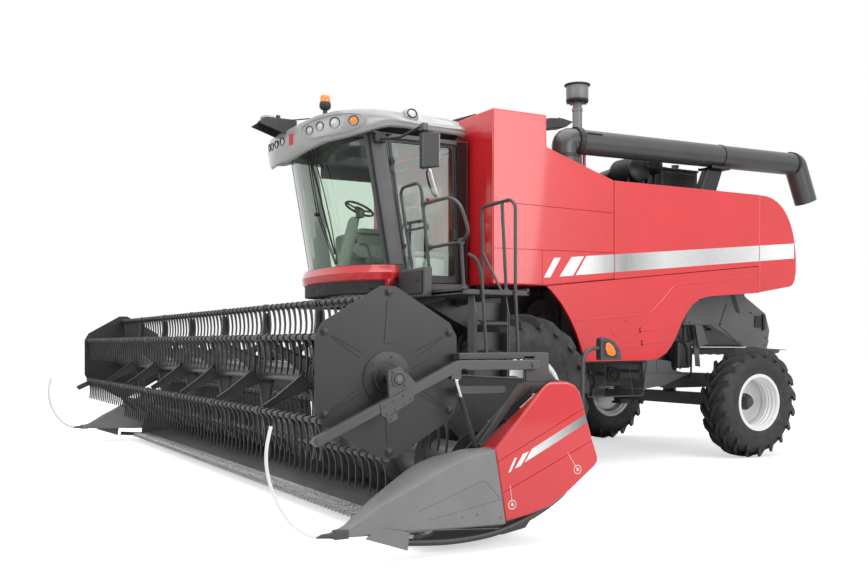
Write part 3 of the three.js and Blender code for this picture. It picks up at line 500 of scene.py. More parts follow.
def woven_trim():
    """Seat cloth: a fine two-way weave with slubs."""
    material, tree, shader, place = finish("seat cloth")
    base = between(tree, noise(tree, place, 30, 5, 0.7), (0.085, 0.09, 0.092), (0.15, 0.155, 0.155))
    heights = []
    for axis in ("X", "Y"):
        wave = add_node(tree, "TexWave", Scale=130, Distortion=1.2, Vector=place)
        wave.bands_direction = axis
        heights.append(wave.outputs["Fac"])
    weave = tree.nodes.new("ShaderNodeMath")
    weave.operation = "MULTIPLY"
    tree.links.new(heights[0], weave.inputs[0])
    tree.links.new(heights[1], weave.inputs[1])
    raised(tree, shader, weave.outputs["Value"], 0.5, 0.0008)
    feed(tree, shader, Base_Color=base, Roughness=between(tree, weave.outputs["Value"], 0.82, 0.95),
            Sheen_Weight=0.3)
    return material


def stripe_foil():
    """Silver foil that lightens and darkens in soft bands along the machine, and ends white at the rear."""
    material, tree, shader, place = finish("stripe foil")
    rearwards = add_node(tree, "SeparateXYZ", Vector=place).outputs["Y"]
    along = add_node(tree, "MapRange", From_Min=AXLE_Y + STRIPE_START, From_Max=AXLE_Y + STRIPE_END,
            Value=rearwards)
    ramp = tree.nodes.new("ShaderNodeValToRGB")
    ramp.color_ramp.elements[0].color = (0.8, 0.8, 0.8, 1)
    ramp.color_ramp.elements[1].color = (0.86, 0.86, 0.85, 1)
    for spot, tone in ((0.07, 0.5), (0.16, 0.3), (0.34, 0.62), (0.55, 0.5), (0.75, 0.62), (0.9, 0.82)):
        ramp.color_ramp.elements.new(spot).color = (tone, tone, tone * 1.01, 1)
    tree.links.new(along.outputs["Result"], ramp.inputs["Fac"])
    feed(tree, shader, Base_Color=ramp.outputs["Color"], Roughness=between(tree, noise(tree, place, 12, 3),
            0.24, 0.32))
    return material


def lamp_lens(name, colour, glow=0.0):
    """Clear or coloured lens plastic with moulded ribs behind it."""
    material, tree, shader, place = finish(name)
    ribs = add_node(tree, "TexWave", Scale=45, Distortion=0.4, Vector=place).outputs["Fac"]
    feed(tree, shader, Base_Color=between(tree, ribs, shade(colour, 0.7), colour, 0.2, 0.8),
            Roughness=0.12, Coat_Weight=0.8)
    raised(tree, shader, ribs, 0.4, 0.001)
    if glow:
        feed(tree, shader, Emission_Color=(*colour, 1), Emission_Strength=glow)
    return material


STRIPE_START, STRIPE_END = 0.9, 4.3

red_enamel = paint("red enamel", (0.62, 0.012, 0.018), 0.3, coat=0.85, mottle=0.04, grain=0.08)
dark_red = paint("red enamel in shade", (0.42, 0.008, 0.013), 0.4, coat=0.5, mottle=0.05)
frame_paint = paint("charcoal frame paint", (0.04, 0.041, 0.043), 0.42, mottle=0.12, grain=0.3, dust=0.05)
header_paint = paint("charcoal header paint", (0.058, 0.059, 0.06), 0.42, mottle=0.08, grain=0.2)
cab_paint = paint("cab grey paint", (0.075, 0.077, 0.08), 0.45, mottle=0.08, grain=0.3)
deck_paint = paint("black deck paint", (0.013, 0.013, 0.014), 0.42, mottle=0.15, grain=0.3)
tube_paint = paint("grey tube paint", (0.052, 0.053, 0.055), 0.33, coat=0.15, mottle=0.08, grain=0.15)
sheet_paint = paint("grey sheet paint", (0.12, 0.122, 0.125), 0.45, mottle=0.1, grain=0.3)
rail_paint = paint("grey rail paint", (0.055, 0.056, 0.058), 0.38, mottle=0.08, grain=0.2)
locker_dark = paint("dark locker paint", (0.02, 0.02, 0.021), 0.5, mottle=0.1, grain=0.25)
stack_grey = paint("grey stack paint", (0.17, 0.172, 0.175), 0.35, mottle=0.1, grain=0.2)
reel_sheet_paint = paint("dark reel sheet paint", (0.019, 0.0195, 0.02), 0.4, mottle=0.06, grain=0.2)
arm_paint = paint("grey arm paint", (0.07, 0.071, 0.073), 0.4, mottle=0.06, grain=0.2)
wheel_silver = paint("silver wheel paint", (0.55, 0.555, 0.565), 0.3, coat=0.2, metallic=0.35, mottle=0.05,
        grain=0.12)
wheel_white = paint("pale wheel lip paint", (0.78, 0.78, 0.78), 0.3, coat=0.3, mottle=0.03, grain=0.1)
roof_shell = moulded_plastic("grey roof moulding", (0.32, 0.316, 0.313), 0.24, grain=0.06)
roof_shell.node_tree.nodes["Principled BSDF"].inputs["Coat Weight"].default_value = 0.6
nose_plastic = moulded_plastic("grey nose moulding", (0.2, 0.202, 0.206), 0.42, grain=0.12)
black_plastic = moulded_plastic("black moulding", (0.018, 0.018, 0.019), 0.5)
tine_plastic = moulded_plastic("black tine plastic", (0.022, 0.022, 0.023), 0.4, grain=0.1)
trim_plastic = moulded_plastic("grey trim moulding", (0.3, 0.31, 0.3), 0.6)
pillar_grey = moulded_plastic("grey pillar moulding", (0.13, 0.133, 0.135), 0.45, grain=0.12)
mirror_grey = moulded_plastic("dark mirror moulding", (0.06, 0.062, 0.065), 0.35, grain=0.1)
seal_rubber = moulded_plastic("seal rubber", (0.01, 0.01, 0.01), 0.65, grain=0.2)
rubber = tyre_rubber()
zinc = bright_zinc("bright zinc", (0.62, 0.62, 0.61), 0.32)
pale_steel = bright_zinc("pale coated steel", (0.85, 0.85, 0.84), 0.3, 20, metallic=0.1)
polished_steel = bright_zinc("polished steel", (0.7, 0.7, 0.7), 0.12, 30)
cab_glass = safety_glass("green cab glass", (0.8, 0.9, 0.82))
dark_glass = paint("smoked glass", (0.016, 0.009, 0.011), 0.06, mottle=0.02, grain=0.0)
seat_cloth = woven_trim()
stripe_silver = stripe_foil()
stripe_white = paint("white stripe foil", (0.82, 0.82, 0.82), 0.28, mottle=0.02, grain=0.05)
clear_lens = lamp_lens("clear lens", (0.62, 0.64, 0.66))
amber_lens = lamp_lens("amber lens", (0.95, 0.24, 0.01), 0.25)


# ---------------------------------------------------------------- studio
def studio():
    """A pale floor under plain soft light, and the camera."""
    bpy.ops.object.select_all(action="DESELECT")
    bpy.ops.mesh.primitive_plane_add(size=260)
    floor = fresh("studio_floor")
    floor.location.z = -0.001
    material, tree, shader, place = finish("pale floor")
    feed(tree, shader, Base_Color=between(tree, noise(tree, place, 0.8, 3), 0.8, 0.82), Roughness=0.9,
            Specular_IOR_Level=0.1)
    glow = add_node(tree, "Emission", Strength=FLOOR_GLOW)
    add = tree.nodes.new("ShaderNodeAddShader")
    mix = add_node(tree, "MixShader", Fac=add_node(tree, "LightPath").outputs["Is Camera Ray"])
    out = tree.nodes["Material Output"]
    tree.links.new(shader.outputs["BSDF"], add.inputs[0])
    tree.links.new(glow.outputs["Emission"], add.inputs[1])
    tree.links.new(shader.outputs["BSDF"], mix.inputs[1])
    tree.links.new(add.outputs["Shader"], mix.inputs[2])
    tree.links.new(mix.outputs["Shader"], out.inputs["Surface"])
    floor.data.materials.append(material)

    world = bpy.data.worlds.new("studio")
    bpy.context.scene.world = world
    world.use_nodes = True
    tree = world.node_tree
    soft = tree.nodes["Background"]
    soft.inputs["Color"].default_value = (1, 1, 1, 1)
    soft.inputs["Strength"].default_value = SKY_LIGHT
    white = tree.nodes.new("ShaderNodeBackground")
    white.inputs["Color"].default_value = (1, 1, 1, 1)
    path = tree.nodes.new("ShaderNodeLightPath")
    seen = path.outputs["Is Camera Ray"]
    for extra in ("Is Glossy Ray", "Is Transmission Ray"):
        either = tree.nodes.new("ShaderNodeMath")
        either.operation = "MAXIMUM"
        tree.links.new(seen, either.inputs[0])
        tree.links.new(path.outputs[extra], either.inputs[1])
        seen = either.outputs["Value"]
    mix = tree.nodes.new("ShaderNodeMixShader")
    tree.links.new(seen, mix.inputs["Fac"])
    tree.links.new(soft.outputs["Background"], mix.inputs[1])
    tree.links.new(white.outputs["Background"], mix.inputs[2])
    tree.links.new(mix.outputs["Shader"], tree.nodes["World Output"].inputs["Surface"])

    for name, spot, aim, size, power in LAMPS:
        lamp = bpy.data.lights.new(name, "AREA")
        lamp.shape = "RECTANGLE"
        lamp.size, lamp.size_y = size
        lamp.energy = power
        holder = bpy.data.objects.new(name, lamp)
        bpy.context.scene.collection.objects.link(holder)
        holder.location = Vector(spot)
        holder.rotation_euler = (Vector(aim) - Vector(spot)).to_track_quat("-Z", "Y").to_euler()

    camera = bpy.data.cameras.new("camera")
    camera.lens = 40.853
    camera.sensor_width = 36
    camera.shift_y = 0.0628
    holder = bpy.data.objects.new("camera", camera)
    bpy.context.scene.collection.objects.link(holder)
    holder.location = (10.476, AXLE_Y - 6.081, 1.439)
    holder.rotation_euler = (math.radians(90), 0, math.radians(61))
    bpy.context.scene.camera = holder
    bpy.context.scene.view_settings.view_transform = "Standard"


FLOOR_GLOW = 0.56
SKY_LIGHT = 0.55
LAMPS = [
    # name, place, aim, size, power
    ("top softbox", (2, -1, 11), (0, 0, 1), (12, 12), 1100),
    ("side softbox", (13, 3, 5), (1, 1, 2), (9, 6), 620),
    ("front softbox", (3, -13, 6), (0, -1, 1.5), (8, 6), 320),
]
studio()


# ---------------------------------------------------------------- reel
REEL_Y, REEL_Z = -3.07, 1.2
REEL_HALF = 4.38
BAR_RADIUS, BAR_REACH, PLATE_REACH, CORNER_CUT = 0.019, 0.562, 0.596, 0.055
SHEET_SHIFT = (0, 0.01, 0.04)            # the end sheets stand a little off the reel's own axis
BAR_COUNT, BAY_COUNT = 6, 7
BAY = 2 * REEL_HALF / BAY_COUNT
TINES_PER_BAY = 10


def ring_points(radius, count, start=0.0):
    return [(radius * math.sin(start + i * 2 * math.pi / count),
            radius * math.cos(start + i * 2 * math.pi / count)) for i in range(count)]


def tine():
    """One curved plastic tine with the collar that clips it on its bar."""
    side = [(-0.021, 0.012), (-0.006, 0.024), (0.014, 0.022), (0.024, 0.008), (0.022, -0.03),
            (0.03, -0.09), (0.034, -0.15), (0.031, -0.21), (0.02, -0.262), (0.012, -0.27), (0.008, -0.262),
            (0.016, -0.2), (0.018, -0.15), (0.012, -0.09), (0.0, -0.04), (-0.02, -0.02)]
    blade = plate("tine", "x", side, -0.007, 0.007)
    for vertex in blade.data.vertices:
        drop = min(1.0, max(0.0, -vertex.co.z / 0.27))
        vertex.co.x *= 1.15 - 0.5 * drop
    collar = turned("collar", "x", [(-0.02, 0.019), (-0.02, 0.027), (-0.014, 0.03), (0.014, 0.03),
            (0.02, 0.027), (0.02, 0.019)], steps=10)
    return joined("tine", smoothed(blade, 0.7), collar)


def tine_bar(number):
    """A tine bar with its row of tines, which hang down whatever the reel does."""
    turn = (number - 1) * math.pi / 3
    y, z = REEL_Y + BAR_REACH * math.sin(turn), REEL_Z + BAR_REACH * math.cos(turn)
    one = tine()
    step = BAY / TINES_PER_BAY
    rows = []
    for bay in range(BAY_COUNT):
        start = -REEL_HALF + bay * BAY + step / 2
        rows.append(moved(row(twin(one, "tines"), TINES_PER_BAY, (step, 0, 0)), start, y, z))
    bpy.data.objects.remove(one)
    bar = rod("bar", (-REEL_HALF + 0.002, y, z), (REEL_HALF - 0.002, y, z), BAR_RADIUS, 16, 0.002)
    seat(joined(f"tines_{number}", rows), f"tine_bar_{number}", "grey_plastic", tine_plastic)
    seat(joined(f"tine_bar_{number}_tube", bar), f"tine_bar_{number}", "header_charcoal", header_paint,
            f"tine_bar_{number}")


def reel_end(side):
    """The six-cornered end sheet: its pressed ribs, its slotted web, its corner bolts and its flat boss."""
    x = side * REEL_HALF
    corners = []
    for i in range(6):
        for shift in (CORNER_CUT, -CORNER_CUT):
            turn = Matrix.Rotation(math.radians(60 * i), 2)
            corners.append(tuple(turn @ Vector((shift, PLATE_REACH))))
    sheet = plate("sheet", "x", corners, x - side * 0.012, x)
    softened(sheet, 0.0015, 1)
    raised_parts = []
    wedge = plate("wedge", "x", [(-0.036, 0.2), (0.036, 0.2), (0.013, 0.485), (0.006, 0.496),
            (-0.006, 0.496), (-0.013, 0.485)], x - side * 0.001, x + side * 0.004, 0.0024, 2)
    raised_parts += [spun(twin(wedge, "wedge"), "X", turn) for turn in (0, 180)]
    bpy.data.objects.remove(wedge)
    for turn in (60, 120, 240, 300):
        raised_parts.append(spun(rod("seam", (x + side * 0.001, -0.02, 0.24),
                (x + side * 0.001, -0.005, 0.5), 0.0028, 6), "X", turn))
        raised_parts.append(spun(rod("seam", (x + side * 0.001, 0.02, 0.24),
                (x + side * 0.001, 0.005, 0.5), 0.0028, 6), "X", turn))
    slot = plate("slot", "x", [(0.1, 0.02), (0.34, 0.135), (0.352, 0.128), (0.35, 0.11), (0.335, 0.095),
            (0.095, -0.012), (0.085, 0.0)], x - side * 0.001, x + side * 0.0045, 0.003, 2)
    raised_parts.append(slot)
    bolts = []
    for y, z in ring_points(0.553, 6):
        bolts.append(turned("washer", "x", [(0, 0), (0, 0.03), (side * 0.004, 0.03), (side * 0.006, 0.026),
                (side * 0.006, 0.018), (side * 0.016, 0.018), (side * 0.018, 0.014), (side * 0.018, 0)],
                (x, y, z), 20))
    boss = turned("boss", "x", [(0, 0.03), (0, 0.185), (side * 0.006, 0.185), (side * 0.008, 0.18),
            (side * 0.008, 0.1), (side * 0.014, 0.095), (side * 0.014, 0.03)], (x, -0.01, -0.04), 44)
    for y, z in ring_points(0.15, 6, 0.2):
        bolts.append(rod("bolt", (x + side * 0.006, y - 0.01, z - 0.04),
                (x + side * 0.013, y - 0.01, z - 0.04), 0.009, 6))
    return joined("reel_end", sheet, raised_parts, bolts, boss)


def spoke(x):
    """One six-armed spider: folded sheet arms that widen to the hub clamp, each with its bar bearing."""
    parts = []
    for i in range(BAR_COUNT):
        arm = plate("arm", "x", [(-0.085, 0.07), (-0.058, 0.2), (-0.03, 0.40), (-0.026, BAR_REACH - 0.045),
                (0.026, BAR_REACH - 0.045), (0.03, 0.40), (0.058, 0.2), (0.085, 0.07)], x - 0.004,
                x + 0.004)
        flange = [plate("flange", "x", [(s * 0.085, 0.07), (s * 0.058, 0.2), (s * 0.03, 0.40),
                (s * 0.026, BAR_REACH - 0.05), (s * 0.022, BAR_REACH - 0.05), (s * 0.026, 0.40),
                (s * 0.052, 0.2), (s * 0.078, 0.07)], x - 0.004, x + 0.03) for s in (-1, 1)]
        bearing = turned("bearing", "x", [(-0.016, 0.0205), (-0.016, 0.034), (0.016, 0.034),
                (0.016, 0.0205)], (x, 0, BAR_REACH), 16)
        arms = joined("arm", softened(arm, 0.0015, 1), flange, bearing)
        parts.append(spun(arms, "X", -60 * i))
    clamp = turned("clamp", "x", [(-0.05, 0.09), (-0.05, 0.098), (-0.042, 0.103), (0.042, 0.103),
            (0.05, 0.098), (0.05, 0.09)], (x, 0, 0), 28)
    lugs = [spun(block("lug", (x - 0.03, -0.012, 0.098), (x + 0.03, 0.012, 0.125), 0.003), "X",
            30 + 120 * i) for i in range(3)]
    return joined("spoke", parts, clamp, lugs)


def reel():
    ends = [reel_end(s) for s in (-1, 1)]
    for end in ends:
        moved(end, SHEET_SHIFT[0], REEL_Y + SHEET_SHIFT[1], REEL_Z + SHEET_SHIFT[2])
    spokes = []
    first = spoke(0)
    for k in range(1, BAY_COUNT):
        spokes.append(moved(twin(first, "spoke"), -REEL_HALF + k * BAY, REEL_Y, REEL_Z))
    bpy.data.objects.remove(first)
    tube = turned("tube", "x", [(-REEL_HALF, 0.03), (-REEL_HALF, 0.09), (REEL_HALF, 0.09),
            (REEL_HALF, 0.03)], (0, REEL_Y, REEL_Z), 32)
    shaft = rod("shaft", (-4.536, REEL_Y, REEL_Z), (4.536, REEL_Y, REEL_Z), 0.0235, 20, 0.003)
    seat(joined("reel_spider", spokes), "reel", "header_charcoal", header_paint, "reel_frame")
    seat(joined("reel_ends", ends), "reel", "header_charcoal", reel_sheet_paint, "reel_frame")
    seat(joined("reel_tube", tube, shaft), "reel", "header_charcoal", tube_paint, "reel_frame")
    for number in range(1, BAR_COUNT + 1):
        tine_bar(number)


reel()


# ---------------------------------------------------------------- reel arms
ARM_X, ARM_HALF = 4.53, 0.028


def reel_arm(side):
    """The reel's lift arm: a bent box tube, with the riveted saddle under the reel's bearing plate."""
    low, high = side * (ARM_X - ARM_HALF), side * (ARM_X + ARM_HALF)
    low, high = min(low, high), max(low, high)
    tube = plate("tube", "x", [(-1.91, 1.25), (-1.91, 1.318), (-2.59, 1.32), (-2.63, 1.308),
            (-3.675, 0.829), (-3.654, 0.768), (-2.56, 1.262), (-2.52, 1.25)], low, high, 0.006, 3)
    outer = high if side > 0 else low
    bearing_plate = plate("bearing_plate", "x", [(-3.15, 1.255), (-3.055, 1.285), (-2.935, 1.17),
            (-2.925, 1.13), (-3.0, 1.06), (-3.14, 1.06)], outer - side * 0.03, outer - side * 0.004, 0.004)
    saddle = plate("saddle", "x", [(-3.215, 1.036), (-3.017, 1.128), (-2.957, 1.078), (-2.965, 1.048),
            (-3.165, 0.942), (-3.203, 0.959)], low - 0.006, high + 0.006, 0.003)
    tab = plate("tab", "x", [(-3.165, 0.944), (-3.085, 0.98), (-3.079, 0.93), (-3.147, 0.902)],
            outer - side * 0.002, outer + side * 0.004, 0.002)
    studs = [rod("stud", (outer, y, z), (outer + side * 0.012, y, z), 0.007, 6) for y,
            z in ((-3.18, 1.02), (-3.11, 1.05), (-3.04, 1.085), (-2.985, 1.065), (-3.03, 1.03),
            (-3.1, 0.992), (-3.16, 0.965), (-3.13, 0.93))]
    ring = turned("bearing", "x", [(0, 0.0246), (0, 0.056), (side * 0.006, 0.056), (side * 0.009, 0.05),
            (side * 0.009, 0.042), (side * 0.004, 0.038), (side * 0.012, 0.034), (side * 0.012, 0.0246),
            (0, 0.0246)], (outer - side * 0.005, REEL_Y, REEL_Z), 32)
    face_outwards(ring)
    for k in range(4):
        turn = math.radians(45 + 90 * k)
        y, z = REEL_Y + 0.066 * math.cos(turn), REEL_Z + 0.066 * math.sin(turn)
        studs.append(rod("stud", (outer - side * 0.006, y, z), (outer + side * 0.004, y, z), 0.006, 6))
    eye = block("eye", (low + 0.001, -2.66, 1.19), (high - 0.001, -2.58, 1.3), 0.004)
    foot = plate("end_tab", "x", [(-3.675, 0.829), (-3.654, 0.768), (-3.69, 0.80)], low + 0.004,
            high - 0.004, 0.002)
    pivot = turned("pivot", "x", [(0, 0), (0, 0.02), (side * 0.01, 0.018), (side * 0.01, 0)],
            (outer, -1.97, 1.285), 24)
    cut_out(bearing_plate, rod("bore", (side * (ARM_X - 0.1), REEL_Y, REEL_Z),
            (side * (ARM_X + 0.1), REEL_Y, REEL_Z), 0.0246, 24))
    reshaded(bearing_plate)
    name = "left" if side > 0 else "right"
    arm = joined(f"reel_arm_{name}_tube", tube, bearing_plate, saddle, tab, studs, ring, eye, foot, pivot)
    seat(arm, "reel_arms", "header_charcoal", arm_paint, f"reel_arm_{name}")
    end = turned("shaft_end", "x", [(-side * 0.02, 0.0), (-side * 0.02, 0.0235), (side * 0.012, 0.0235),
            (side * 0.016, 0.02), (side * 0.016, 0.0)], (outer - side * 0.004, REEL_Y, REEL_Z), 20)
    seat(end, "reel", "header_charcoal", sheet_paint)


for side in (1, -1):
    reel_arm(side)


# ---------------------------------------------------------------- cutting table
TABLE_HALF = 4.48
KNIFE_Y, KNIFE_Z = -2.79, 0.098
GUARD_PITCH = 0.0762
AUGER_Y, AUGER_Z, AUGER_TUBE, AUGER_FLIGHT = -2.13, 0.46, 0.2, 0.3


def knife():
    """The toothed knife on its bar, the row of pointed guards around it, and their bolts and clips."""
    count = int((2 * TABLE_HALF - 0.16) / GUARD_PITCH)
    start = -GUARD_PITCH * (count - 1) / 2
    section = plate("section", "z", [(-0.037, KNIFE_Y - 0.004), (-0.037, KNIFE_Y - 0.03),
            (-0.006, KNIFE_Y - 0.075), (0.006, KNIFE_Y - 0.075), (0.037, KNIFE_Y - 0.03),
            (0.037, KNIFE_Y - 0.004)], KNIFE_Z + 0.0035, KNIFE_Z + 0.0075)
    sections = row(moved(section, start + GUARD_PITCH / 2, 0, 0), count - 1, (GUARD_PITCH, 0, 0))
    rivets = [rod("rivet", (dx, KNIFE_Y - 0.016, KNIFE_Z + 0.006), (dx, KNIFE_Y - 0.016, KNIFE_Z + 0.0098),
            0.005, 8) for dx in (-0.018, 0.018)]
    rivets = row(moved(joined("rivets", rivets), start + GUARD_PITCH / 2, 0, 0), count - 1,
            (GUARD_PITCH, 0, 0))
    half = TABLE_HALF - 0.061
    back = block("knife_back", (-half, KNIFE_Y - 0.024, KNIFE_Z + 0.0004),
            (half, KNIFE_Y - 0.006, KNIFE_Z + 0.0034), 0.001, 1)
    seat(joined("knife_blades", sections, rivets, back), "knife", "bright_steel", polished_steel,
            "knife_bar")

    finger = plate("finger", "z", [(-0.026, KNIFE_Y + 0.03), (-0.026, KNIFE_Y - 0.028),
            (-0.012, KNIFE_Y - 0.06), (-0.003, KNIFE_Y - 0.135), (0.003, KNIFE_Y - 0.135),
            (0.012, KNIFE_Y - 0.06), (0.026, KNIFE_Y - 0.028), (0.026, KNIFE_Y + 0.03)], KNIFE_Z - 0.022,
            KNIFE_Z - 0.0006, 0.003, 1)
    lip = plate("lip", "z", [(-0.009, KNIFE_Y - 0.014), (-0.009, KNIFE_Y - 0.075),
            (-0.003, KNIFE_Y - 0.128), (0.003, KNIFE_Y - 0.128), (0.009, KNIFE_Y - 0.075),
            (0.009, KNIFE_Y - 0.014)], KNIFE_Z + 0.0106, KNIFE_Z + 0.02, 0.003, 1)
    nose = plate("nose", "x", [(KNIFE_Y - 0.082, KNIFE_Z - 0.02), (KNIFE_Y - 0.137, KNIFE_Z - 0.004),
            (KNIFE_Y - 0.137, KNIFE_Z + 0.006), (KNIFE_Y - 0.082, KNIFE_Z + 0.0195)], -0.004, 0.004)
    bolt = rod("bolt", (0, KNIFE_Y + 0.018, KNIFE_Z), (0, KNIFE_Y + 0.018, KNIFE_Z + 0.02), 0.009, 6)
    clip = plate("clip", "x", [(KNIFE_Y - 0.012, KNIFE_Z + 0.0106), (KNIFE_Y - 0.012, KNIFE_Z + 0.0145),
            (KNIFE_Y + 0.01, KNIFE_Z + 0.0145), (KNIFE_Y + 0.034, KNIFE_Z + 0.01),
            (KNIFE_Y + 0.034, KNIFE_Z + 0.004), (KNIFE_Y + 0.008, KNIFE_Z + 0.0106)], -0.014, 0.014)
    guard = moved(joined("guard", finger, lip, nose, bolt, clip), start, 0, 0)
    guards = row(guard, count, (GUARD_PITCH, 0, 0))
    strip = plate("wear_strip", "x",
            [(KNIFE_Y + 0.002, KNIFE_Z - 0.006), (KNIFE_Y + 0.002, KNIFE_Z + 0.004),
            (KNIFE_Y + 0.085, KNIFE_Z + 0.017), (KNIFE_Y + 0.085, KNIFE_Z + 0.004)], -half, half)
    seat(joined("knife_guards", guards, strip), "header", "bright_steel", zinc)


def auger():
    """The cross auger: a drum with opposed flights on its two halves and fingers in the middle."""
    end = TABLE_HALF - 0.008
    drum = turned("drum", "x", [(-TABLE_HALF + 0.0015, 0.04), (-end, 0.04), (-end, AUGER_TUBE),
            (end, AUGER_TUBE), (end, 0.04), (TABLE_HALF - 0.0015, 0.04), (TABLE_HALF - 0.0015, 0),
            (-TABLE_HALF + 0.0015, 0)], steps=40)
    flights = []
    pitch, inner_end = 0.56, 0.62
    turns = (end - 0.03 - inner_end) / pitch
    for side in (1, -1):
        strip = outline("flight", [(0, 0, AUGER_TUBE - 0.006), (0, 0, AUGER_FLIGHT - 0.001),
                (0.006, 0, AUGER_FLIGHT - 0.001), (0.010, 0, AUGER_TUBE - 0.006)], "NOTHING")
        screw = strip.modifiers.new("wind", "SCREW")
        screw.axis = "X"
        screw.angle = 2 * math.pi * turns
        screw.screw_offset = pitch * turns
        screw.steps = screw.render_steps = int(28 * turns)
        pick(strip)
        bpy.ops.object.modifier_apply(modifier=screw.name)
        moved(strip, inner_end, 0, 0)

        def close():
            bpy.ops.mesh.remove_doubles(threshold=1e-5)
            bpy.ops.mesh.select_all(action="DESELECT")
            bpy.ops.mesh.select_mode(type="EDGE")
            bpy.ops.mesh.select_non_manifold()
            bpy.ops.mesh.fill_holes(sides=0)
            bpy.ops.mesh.select_mode(type="FACE")
            bpy.ops.mesh.select_all(action="SELECT")
            bpy.ops.mesh.normals_make_consistent(inside=False)
        edit(strip, close)
        if side < 0:
            strip.data.transform(Matrix.Scale(-1, 4, (1, 0, 0)))
            edit(strip, lambda: bpy.ops.mesh.flip_normals())
        flights.append(smoothed(strip, 0.6))
    fingers = []
    for i in range(9):
        x = -0.52 + i * 0.13
        turn = i * 137.5
        finger = rod("finger", (x, 0, AUGER_TUBE - 0.01), (x, 0, AUGER_FLIGHT - 0.012), 0.008, 10, 0.003)
        guide = rod("guide", (x, 0, AUGER_TUBE - 0.005), (x, 0, AUGER_TUBE + 0.009), 0.024, 12, 0.003)
        fingers.append(spun(joined("finger", finger, guide), "X", turn))
    whole = joined("auger_drum", drum, flights, fingers)
    moved(whole, 0, AUGER_Y, AUGER_Z)
    seat(whole, "cross_auger", "header_charcoal", tube_paint, "cross_auger")


def trough():
    """The table itself with its end sheets, its stiffening ribs and its rear beams."""
    for node, edge in (("header_trough", 0.004), ("header_frame", 0.006), ("feeder_house", 0.008)):
        piece = on_axle(from_cad(node, f"{node}_skin"))
        seat(reshaded(softened(piece, edge, 2, 40)), "header", "header_charcoal", header_paint, node)
    extras = []
    for side in (1, -1):
        x = side * (TABLE_HALF + 0.012)
        extras.append(plate("rail", "x", [(-2.56, 1.08), (-2.165, 1.076), (-2.165, 1.13), (-2.58, 1.138)],
                x - side * 0.05, x - side * 0.005, 0.006))
        extras.append(block("top_box", (min(x - side * 0.09, x), -2.56, 1.325),
                (max(x - side * 0.09, x), -1.8, 1.372), 0.006))
        extras.append(plate("pivot_cheek", "x", [(-1.915, 1.345), (-1.797, 1.372), (-1.79, 1.16),
                (-2.0, 1.16), (-2.0, 1.25)], x, x + side * 0.008, 0.003))
        extras.append(plate("post", "x", [(-2.50, 0.64), (-2.43, 0.64), (-2.02, 1.12), (-2.06, 1.15)], x,
                x + side * 0.03, 0.005))
        for k in range(8):
            at = side * (0.82 + k * 0.49)
            extras.append(plate("rib", "x", [(-1.789, 0.34), (-1.70, 0.34), (-1.66, 0.6), (-1.66, 1.0),
                    (-1.789, 1.0)], at - 0.005, at + 0.005))
        for y, z in ((-2.2, 0.9), (-1.95, 0.9), (-2.35, 0.89)):
            extras.append(rod("bolt", (x + side * 0.04, y, z), (x + side * 0.054, y, z), 0.009, 6))
    lip = pipe("lip", [(-TABLE_HALF, -1.796, 1.164), (TABLE_HALF, -1.796, 1.164)], 0.011, 0, 3)
    seat(joined("table_ribs", extras, lip), "header", "header_charcoal", header_paint)


SHIELD_IN, SHIELD_OUT = 4.512, 4.70


def shield_foil(name, points, coating, side):
    piece = plate(name, "x", points, side * (SHIELD_OUT - 0.0012), side * (SHIELD_OUT - 0.0002))
    return seat(piece, "header", "painted_red", coating)


